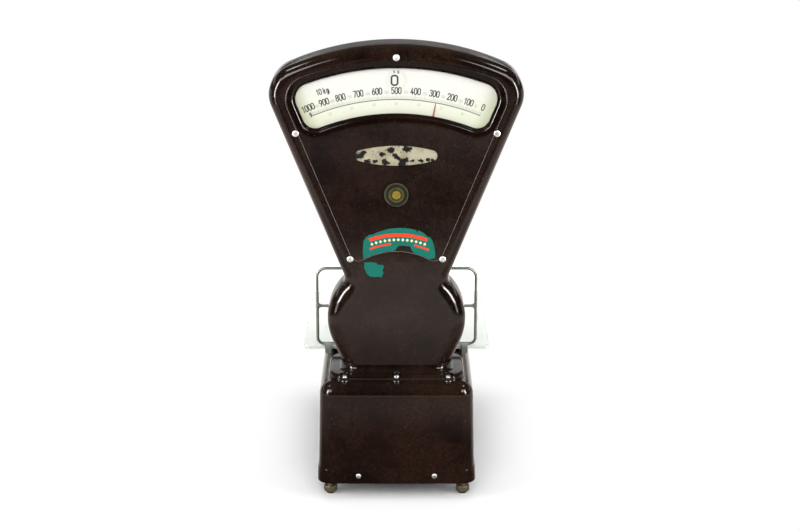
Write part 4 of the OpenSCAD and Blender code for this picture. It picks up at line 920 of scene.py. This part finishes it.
def word(s, text, at, tilt, height, width, stroke, depth, side, mat):
    """Lettering centred on at, turned by tilt, with its front at y = side * depth, read from that side."""
    pen = -(sum(ADVANCE.get(c, GLYPH_STEP) for c in text) - 0.42) / 2
    for c in text:
        for closed, pts in GLYPHS.get(c, ()):
            cell = [((pen + x) * width, (y / 2 - 0.5) * height) for x, y in pts]

            def place(q):
                x, z = q.x * -side, q.y
                return (at[0] + x * cos(tilt) - z * sin(tilt), side * depth,
                        at[1] + x * sin(tilt) + z * cos(tilt))
            ribbon(s, cell, closed, stroke / 2, place, mat)
        pen += ADVANCE.get(c, GLYPH_STEP)


SCALE_R, SCALE_A = 336.7, radians(22.28)
# Marks of the graduation as (step in grams, start, end, half width), the coarsest first
TICKS = ((100, 0.4, 8.4, 0.3), (50, 0.4, 7.0, 0.24), (10, 0.4, 5.4, 0.24), (5, 1.6, 3.4, 0.17))


def on_fan(r, a, c=(0, PIVOT_Z)):
    """The point at radius r and angle a from upright."""
    return c[0] + r * sin(a), c[1] + r * cos(a)


def on_scale(value, r):
    """The point at radius r for a number of grams, and the tilt of upright lettering there."""
    v = (500 - value) / 100
    a = radians(4.845 * v - 0.0156 * v ** 3)
    return on_fan(r, a), -a


def dial_marks(name, side):
    s = Shape()
    depth = DIAL_Y + 0.06

    def flat(q):
        return q.x, side * depth, q.y
    arc_line = [on_fan(SCALE_R, SCALE_A * (i / 45 - 1)) for i in range(91)]
    ribbon(s, arc_line, False, 0.6, flat, 2)
    for g in range(0, 1001, 5):
        start, end, half = next(tick[1:] for tick in TICKS if g % tick[0] == 0)
        ribbon(s, [on_scale(g, SCALE_R + start)[0], on_scale(g, SCALE_R + end)[0]], False, half, flat, 1)
    for g in range(0, 1001, 100):
        at, tilt = on_scale(g + (10 if g == 1000 else 0), SCALE_R + 13.6)
        word(s, str(g), at, tilt, 9.4, 3.75, 1.55, depth, side, 0)
    for g in range(50, 1000, 100):
        at, tilt = on_scale(g, SCALE_R + 11.4)
        word(s, str(g), at, tilt, 4.2, 1.6, 0.45, depth, side, 1)
    for k in range(-3, 4):
        a = radians(5.95 * k)
        at = on_fan(SCALE_R - 6.5, a)
        word(s, str(50 + 10 * k), at, -a, 4.0, 1.8, 0.5, depth, side, 4 if k else 3)
    word(s, "k  g", (0, 682.8), 0, 4.3, 2.2, 0.8, depth, side, 0)
    word(s, "10 kg", (side * 112.6, 652.3), radians(15) * -side, 8.2, 3.3, 1.35, depth, side, 0)
    (x, z), tilt = on_scale(1000 if side < 0 else 0, SCALE_R - 0.5)
    word(s, "g", (x + side * 4.6, z + 3.4), tilt, 7.0, 3.0, 1.1, depth, side, 0)
    for r in (12.9, 15.6):
        ribbon(s, circle(r, 48, 0.6, HOLE_Z), True, 0.22, flat, 4)
    s.make(name, "ink", "ink_grey", "ink_line", "ink_red", "ink_green", slot="cream_enamel", weighted=False)


def dial_plate(name, side, node):
    s = Shape()
    faces = (DIAL_BACK_Y, DIAL_Y)
    outer = [s.ring(at_y(window(10), side * y)) for y in faces]
    hole = [s.ring(at_y(circle(HOLE_R, 64, 0, HOLE_Z), side * y)) for y in faces]
    s.bridge(*outer)
    s.bridge(*hole)
    for k in (0, 1):
        s.fill(outer[k], hole[k])
    s.make(name, "cream_enamel", replaces=(node,))


for side, where, node in ((-1, "front", "front_dial"), (1, "rear", "rear_dial")):
    seam_line(f"seam_line_{where}", side)
    dial_plate(f"dial_{where}", side, node)
    dial_marks(f"dial_marks_{where}", side)


# Number discs: one digit at a time shows in the dial's round window

def number_discs():
    s = Shape()
    aim = math.atan2(HOLE_Z - DISC[1], -2.7 - DISC[0])
    for side in (-1, 1):
        ids = s.rings([at_y(circle(r, 96, *DISC), side * y)
                       for r, y in ((3.2, 23.6), (60, 23.6), (60, 24.4), (3.2, 24.4))])
        s.bridge(ids[-1], ids[0])
        for k in range(10):
            a = radians(36 * k)
            word(s, str(k), polar(DISC, 45.5, aim + a), a, 15.0, 9.4, 2.7, 24.45, side, 1)
    s.make("kilogram_discs", "cream_enamel", "ink", body="number_discs", replaces=("number_discs",),
           weighted=False)


number_discs()


# Needles

def needles(name, side, node):
    """A tapered blade with a ridge and a round hub, turned to its place at rest."""
    s = Shape()
    y0, y1 = side * 27.2, side * 28.0
    blade = [(-34, 3.5), (-20, 3.6), (0, 3.4), (120, 2.9), (240, 2.3), (300, 2.0), (316, 1.6), (330, 1.0),
             (336.5, 0.6)]

    def turned(x, z):
        return x * cos(REST) + z * sin(REST), z * cos(REST) - x * sin(REST) + PIVOT_Z
    flat = [turned(-w, z) for z, w in blade] + [turned(w, z) for z, w in reversed(blade)]
    back = s.ring(at_y(flat, y0))
    front = s.ring(at_y(flat, y1 - side * 0.25))
    ridge = s.ring(at_y([turned(0, z) for z, _ in blade], y1))
    s.bridge(back, front)
    s.face(*back)
    k = len(blade)
    for i in range(k - 1):
        s.face(front[i], front[i + 1], ridge[i + 1], ridge[i])
        s.face(front[2 * k - 1 - i], front[2 * k - 2 - i], ridge[i + 1], ridge[i])
    s.face(front[0], front[2 * k - 1], ridge[0])
    s.face(front[k - 1], front[k], ridge[k - 1])
    s.rod([at_y(circle(r, 40, 0, PIVOT_Z), side * y)
           for r, y in ((4, 26.3), (9, 26.4), (9, 28.5), (8.2, 28.9), (4, 28.9))])
    s.make(name, "red_needle", body="pointer", replaces=(node,))


needles("needle_front", -1, "pointer_front")
needles("needle_rear", 1, "pointer_rear")


# Name plate and badge

def name_plate():
    """A pointed oval with blunt ends: four long arcs that meet in a small one at each end."""
    s = Shape()
    hw, hh, r = 63.0, 15.5, 8.5
    e = hw - r
    big = (e * e + hh * hh - r * r) / (2 * (hh - r))
    c = Vector((0, hh - big))
    quarter = arc((e, 0), r, 0, angle((e, 0), c), 8) + arc(c, big, angle((e, 0), c), pi / 2, 16)[1:]
    upper = quarter + [Vector((-p.x, p.y)) for p in reversed(quarter[:-1])]
    loop = upper + [Vector((p.x, -p.y)) for p in reversed(upper[1:-1])]
    steps = ((0, -37.6), (0, -38.8), (0.35, -39.15), (1.0, -39.2), (1.25, -39.0), (1.5, -38.75))
    ids = s.rings([[(p.x * (1 - k / hw), y, NAME_Z + p.y * (1 - k / hh)) for p in loop] for k, y in steps])
    s.fill(ids[-1])
    s.fill(ids[0])
    s.make("name_plate_worn", "name_enamel", replaces=("name_plate",), angle_deg=50)


name_plate()

BADGE = [
    (18.7, 37.6), (18.7, 39.6), (18.2, 40.4), (17.4, 40.6), (16.9, 40.3), (16.6, 39.8), (12.0, 39.85),
    (11.8, 40.3), (10.2, 40.5), (9.8, 40.1), (9.4, 40.1), (9.0, 40.7), (7.4, 41.05), (6.4, 41.1), (6.0, 40.8),
    (0.4, 41.2),
]
lathe(BADGE, lambda x, y, h: (x, -h, BADGE_Z + y), 64).make(
    "badge_disc", "badge_enamel", replaces=("badge",), angle_deg=40)


# The worn sticker across the cover's lower edge

FIELD = [(-51.5, 389.8), (-52.2, 398), (-52.0, 410), (-50.8, 419.5), (-46.5, 425.0), (-42.5, 428.2)]
FIELD += [(x, 439.6 - (x - 6) ** 2 * 0.0056) for x in (-38, -30, -22, -12, -4, 6, 16, 24)]
FIELD += [(31, 436.0), (32, 431.5), (34, 436.1), (42, 431.6), (46.0, 428.4), (49, 424.5), (52, 425.5),
          (56.2, 418.5), (59.2, 409), (60.4, 398.5), (60.2, 391.2), (54.5, 389.4)]
REMNANT = [
    (-50.4, 383.6), (-50.0, 374), (-46.8, 366.0), (-42, 361.2), (-35, 359.8), (-25.5, 360.6), (-23.8, 359.0),
    (-19.8, 366.8), (-21.8, 370.4), (-19.6, 376.2), (-20.8, 379.4), (-28.0, 379.8), (-31.2, 382.6),
    (-38, 384.4),
]
BOW_C = (3, 300)


def sticker():
    """Two scraps of printed paper above and below the cover's edge, with bows of orange and cream dots."""
    s = Shape()

    def blob(points, mat, lift=0.0):
        s.fill(s.ring(at_y(points, -FACE - 0.05 - lift)), mat=mat)

    low = arc(COVER_LOW_C, COVER_LOW_R + 0.8, angle((53.5, 387.6), COVER_LOW_C),
              angle((-43.0, 391.8), COVER_LOW_C), 26)
    rough = random.Random(4)
    torn = []
    for p in low[1:]:
        if -4 < p.x < 26:
            lift = 9.5 * smooth_step((p.x + 4) / 8) * smooth_step((26 - p.x) / 4) + rough.uniform(-0.9, 0.9)
        else:
            lift = rough.uniform(0.0, 0.35)
        torn.append((p.x, p.y + max(0.0, lift)))
    blob(FIELD + torn, 0)
    blob(REMNANT, 0)
    bows = ((125.5, 131.0, -0.36, 0.36), (112.5, 115.8, -0.40, -0.10), (112.5, 115.8, 0.22, 0.43))
    for r0, r1, b0, b1 in bows:
        turn = [b0 + (b1 - b0) * i / 14 for i in range(15)]
        blob([on_fan(r0, b, BOW_C) for b in turn] + [on_fan(r1, b, BOW_C) for b in reversed(turn)], 1, 0.03)
    for k in range(-6, 7):
        b = k * 0.058
        mid = Vector(on_fan(120.6, b, BOW_C))
        u, v = Vector((cos(b), -sin(b))), Vector((sin(b), cos(b)))
        blob([mid + u * 2.3, mid + v * 2.6, mid - u * 2.3, mid - v * 2.6], 2, 0.04)
    s.make("sticker", "decal_teal", "decal_orange", "decal_cream", slot="name_enamel", weighted=False)


sticker()


# Goods plate with eased edges

def goods_plate():
    s = Shape()
    low = [(1.4 * (1 - u), 204 + 1.4 * v) for u, v in quarter_turn(4)]
    high = [(1.8 * v, 208.2 + 1.8 * u) for u, v in quarter_turn(6)]
    s.rod([rrect(PLATE_HX - d, PLATE_FRONT + d, PLATE_REAR - d, PLATE_R - d, PLATE_R - d, z)
           for d, z in low + high])
    s.make("opal_plate", "opal_glass", body="goods_plate", replaces=("goods_plate",))


goods_plate()


# Guard wires, with small fillets where the middle wire meets the uprights

def guard():
    s = Shape()
    hx, low, mid, top = GUARD_HX, 215.4, 280.5, 344.5
    corners = ((hx - 15, top - 15, 15, 0), (15 - hx, top - 15, 15, 90), (10 - hx, low + 10, 10, 180),
               (hx - 10, low + 10, 10, 270))
    path = [Vector((x, GUARD_Y, z)) for cx, cz, r, a0 in corners
            for x, z in g_arc(cx, cz, r, r, a0, a0 + 90, 10)]
    rings = []
    for i, p in enumerate(path):
        t = (path[(i + 1) % len(path)] - path[i - 1]).normalized()
        u = Vector((0, 1, 0))
        v = t.cross(u)
        rings.append([p + u * x + v * z for x, z in circle(2.4, 16)])
    ids = s.rings(rings)
    s.bridge(ids[-1], ids[0])
    near = [0.8 * i for i in range(10)] + [10, 20]
    rings = []
    for x in [d - hx for d in near] + [0] + [hx - d for d in reversed(near)]:
        r = 2.15 + 4.6 * (1 - smooth_step((hx - abs(x)) / 8.5)) ** 2
        rings.append([(x, GUARD_Y + min(r, 2.3) * cos(a), mid + r * sin(a))
                      for a in (2 * pi * k / 16 for k in range(16))])
    s.rod(rings)
    s.make("guard_wires", "wire_steel", body="pan_carrier", replaces=("guard_frame",))


guard()


# Brackets: a flat strap that rises and closes round the lower wire

def brackets():
    s = Shape()
    w = 4.65
    # y, underside, upper side, half width
    rows = [(105, 199.5, 203, w), (70, 199.5, 203, w), (66, 199.5, 203.4, w), (64.8, 199.5, 205.5, w),
            (64.6, 199.6, 211.0, w + 0.2), (64.2, 200.0, 216.0, w + 0.8), (62.8, 200.2, 217.6, w + 1.4),
            (60.6, 200.2, 217.4, w + 1.2), (59.0, 200.0, 215.6, w + 0.6), (58.0, 199.8, 209.0, w),
            (57.6, 199.6, 204.0, w)]
    for x in (-BRACKET_X, BRACKET_X):
        s.rod([[(x - ww, y, z0), (x + (ww if z1 < 206 else w), y, z0), (x + ww, y, z1), (x - ww, y, z1)]
               for y, z0, z1, ww in rows])
    s.make("guard_straps", "wire_steel", body="pan_carrier", replaces=("guard_brackets",), angle_deg=40)


brackets()


# Feet with a coned pad and a knurled rim

FOOT = [(5.6, 0, 0), (6.3, 0.5, 0), (8.5, 4, 0), (9.6, 4.2, 0), (10.2, 4.9, 0.5), (10.4, 5.6, 1),
        (10.4, 12.4, 1), (10.2, 13.2, 0.5), (9.6, 13.9, 0), (5.2, 14, 0), (5.0, 14.4, 0), (5.0, 33, 0)]
for sx, lr in ((-LEVELLER_X, "left"), (LEVELLER_X, "right")):
    for sy, fr in zip(LEVELLER_Y, ("front", "rear")):
        node = f"foot_{fr}_{lr}"
        fluted(FOOT, lambda a: 0.35 * cos(24 * a), lambda x, y, h: (sx + x, sy + y, h), 96).make(
            f"levelling_{node}", "worn_brass", body=node, replaces=(node,), angle_deg=45)


# Fluted knob on the rear

KNOB_RINGS = [
    (4.2, 39.2, 0), (22.2, 39.2, 0), (23, 39.8, 0), (23, 42.4, 0), (22.2, 43.1, 0), (17.6, 43.4, 0.3),
    (16.9, 44.4, 1), (16.4, 52.0, 1), (15.4, 53.6, 0.8), (13.4, 54.2, 0.3), (3.0, 53.6, 0),
]
fluted(KNOB_RINGS, lambda a: -2.0 * max(0.0, cos(10 * a)) ** 2, lambda x, z, h: (KNOB[0] + x, h, KNOB[1] + z),
       120).make("knob_fluted", "knob", body="kg_selector", replaces=("kg_knob",), angle_deg=40)


# Floor, world and lamps

FLOOR_R = 1900
ground = Shape()
ground.face(*ground.ring([(x, y, 0) for x, y in circle(FLOOR_R, 96, 0, 150)]))
floor_mesh = ground.raw("floor")
floor = add_object("floor", floor_mesh)

# The camera sees plain white beyond the scale's shadow. Reflections see white in front of the scale and
# a fading sheet behind it, which gives the bakelite the dark bands of the photo.
g = Graph(bpy.data.materials.new("floor"))
g.set(base=g.mix(g.noise(3, 3, 0.5), (244, 244, 244), (248, 248, 248)), rough=0.7, specular=0.2)
path = g.add("ShaderNodeLightPath")
beside = g.most(g.minus(g.math("ABSOLUTE", g.axis("X")), 0.12), 0.0)
along = g.most(g.minus(g.math("ABSOLUTE", g.axis("Y")), 0.20), 0.0)
far = g.span(g.hypot(beside, along), 0.0, 0.14)
ahead = g.minus(MID / 1000, g.axis("Y"))
reach = g.hypot(ahead, g.axis("X"))
sheet = g.plus(g.span(reach, 0.36, 0.56, 0.08, 0.7), g.span(reach, 0.66, 0.92, 0.0, 0.8))
sheet = g.times(sheet, g.span(reach, 1.15, 1.62, 1.0, 0.2))
mirrored = g.most(sheet, g.span(ahead, -0.1, 0.1, 1.0, 0.0))
glow = g.add("ShaderNodeEmission", {
    "Color": g.mix(path.outputs["Is Glossy Ray"], (255, 255, 255), (255, 240, 230)),
    "Strength": g.most(mirrored, path.outputs["Is Camera Ray"])})
seen = g.times(path.outputs["Is Camera Ray"], far)
through = g.most(path.outputs["Is Glossy Ray"], path.outputs["Is Transmission Ray"])
blend = g.add("ShaderNodeMixShader", {0: g.most(seen, through), 1: g.bsdf.outputs[0], 2: glow.outputs[0]})
g.feed(g.nodes["Material Output"].inputs["Surface"], blend.outputs[0])
floor_mesh.materials.append(g.owner)

# The world: white for the camera; for the rest a pale lower part and a bright band behind the scale, and a
# faint band in front of it
world = bpy.data.worlds.new("studio")
scene.world = world
w = Graph(world, "Generated")
z = w.axis("Z")
below = w.span(z, 0.045, 0.06, 1.0, 0.03)
band = w.times(w.span(z, 0.20, 0.25, 0.0, 2.2), w.span(z, 0.31, 0.37, 1.0, 0.02))
room = w.times(w.span(w.axis("Y"), -0.05, 0.15, 0.0, 1.0), w.most(below, band))
patch = w.times(w.span(z, -0.236, -0.222, 0.0, 0.6), w.span(z, -0.196, -0.178, 1.0, 0.0))
room = w.most(room, w.times(patch, w.span(w.axis("Y"), -0.05, 0.05, 1.0, 0.0)))
background = w.nodes["Background"].inputs
w.feed(background["Color"], (1, 1, 1, 1))
w.feed(background["Strength"], w.most(room, w.add("ShaderNodeLightPath").outputs["Is Camera Ray"]))


def area(name, at, aim, size, size_y, radiance, mirrored=False):
    """A softbox of the given radiance that shows only as a reflection, or otherwise only lights."""
    data = bpy.data.lights.new(name, "AREA")
    data.shape = "RECTANGLE"
    data.size, data.size_y = size, size_y
    data.energy = radiance * pi * size * size_y
    obj = add_object(name, data)
    obj.location = to_row(at)
    obj.rotation_euler = (to_row(aim) - to_row(at)).to_track_quat("-Z", "Y").to_euler()
    obj.visible_diffuse = not mirrored
    obj.visible_glossy = mirrored


for sx in (-1, 1):
    for part, z, high, radiance in (("low", 230, 0.28, 8), ("mid", 680, 0.62, 46), ("top", 1120, 0.26, 14)):
        area(f"side_card_{part}_{sx}", (sx * 1085, -900, z), (0, 0, 560), 0.27, high, radiance, True)
    area(f"spot_card_{sx}", (sx * 1002, -1875, 1493), (sx * 100, -75, 185), 0.85, 0.85, 12, True)
    area(f"corner_card_{sx}", (sx * 1163, -120, 2390), (sx * 160, 0, 690), 0.35, 0.35, 20, True)
area("fill_front", (0, -2300, 1700), (0, 0, 450), 2.2, 1.6, 5.3)
area("fill_left", (-1900, -900, 1300), (0, 0, 400), 1.2, 1.6, 4.4)
area("fill_right", (1900, -900, 1300), (0, 0, 400), 1.2, 1.6, 4.4)
area("overhead", (0, 250, 2300), (0, 150, 0), 1.8, 1.8, 2.6)
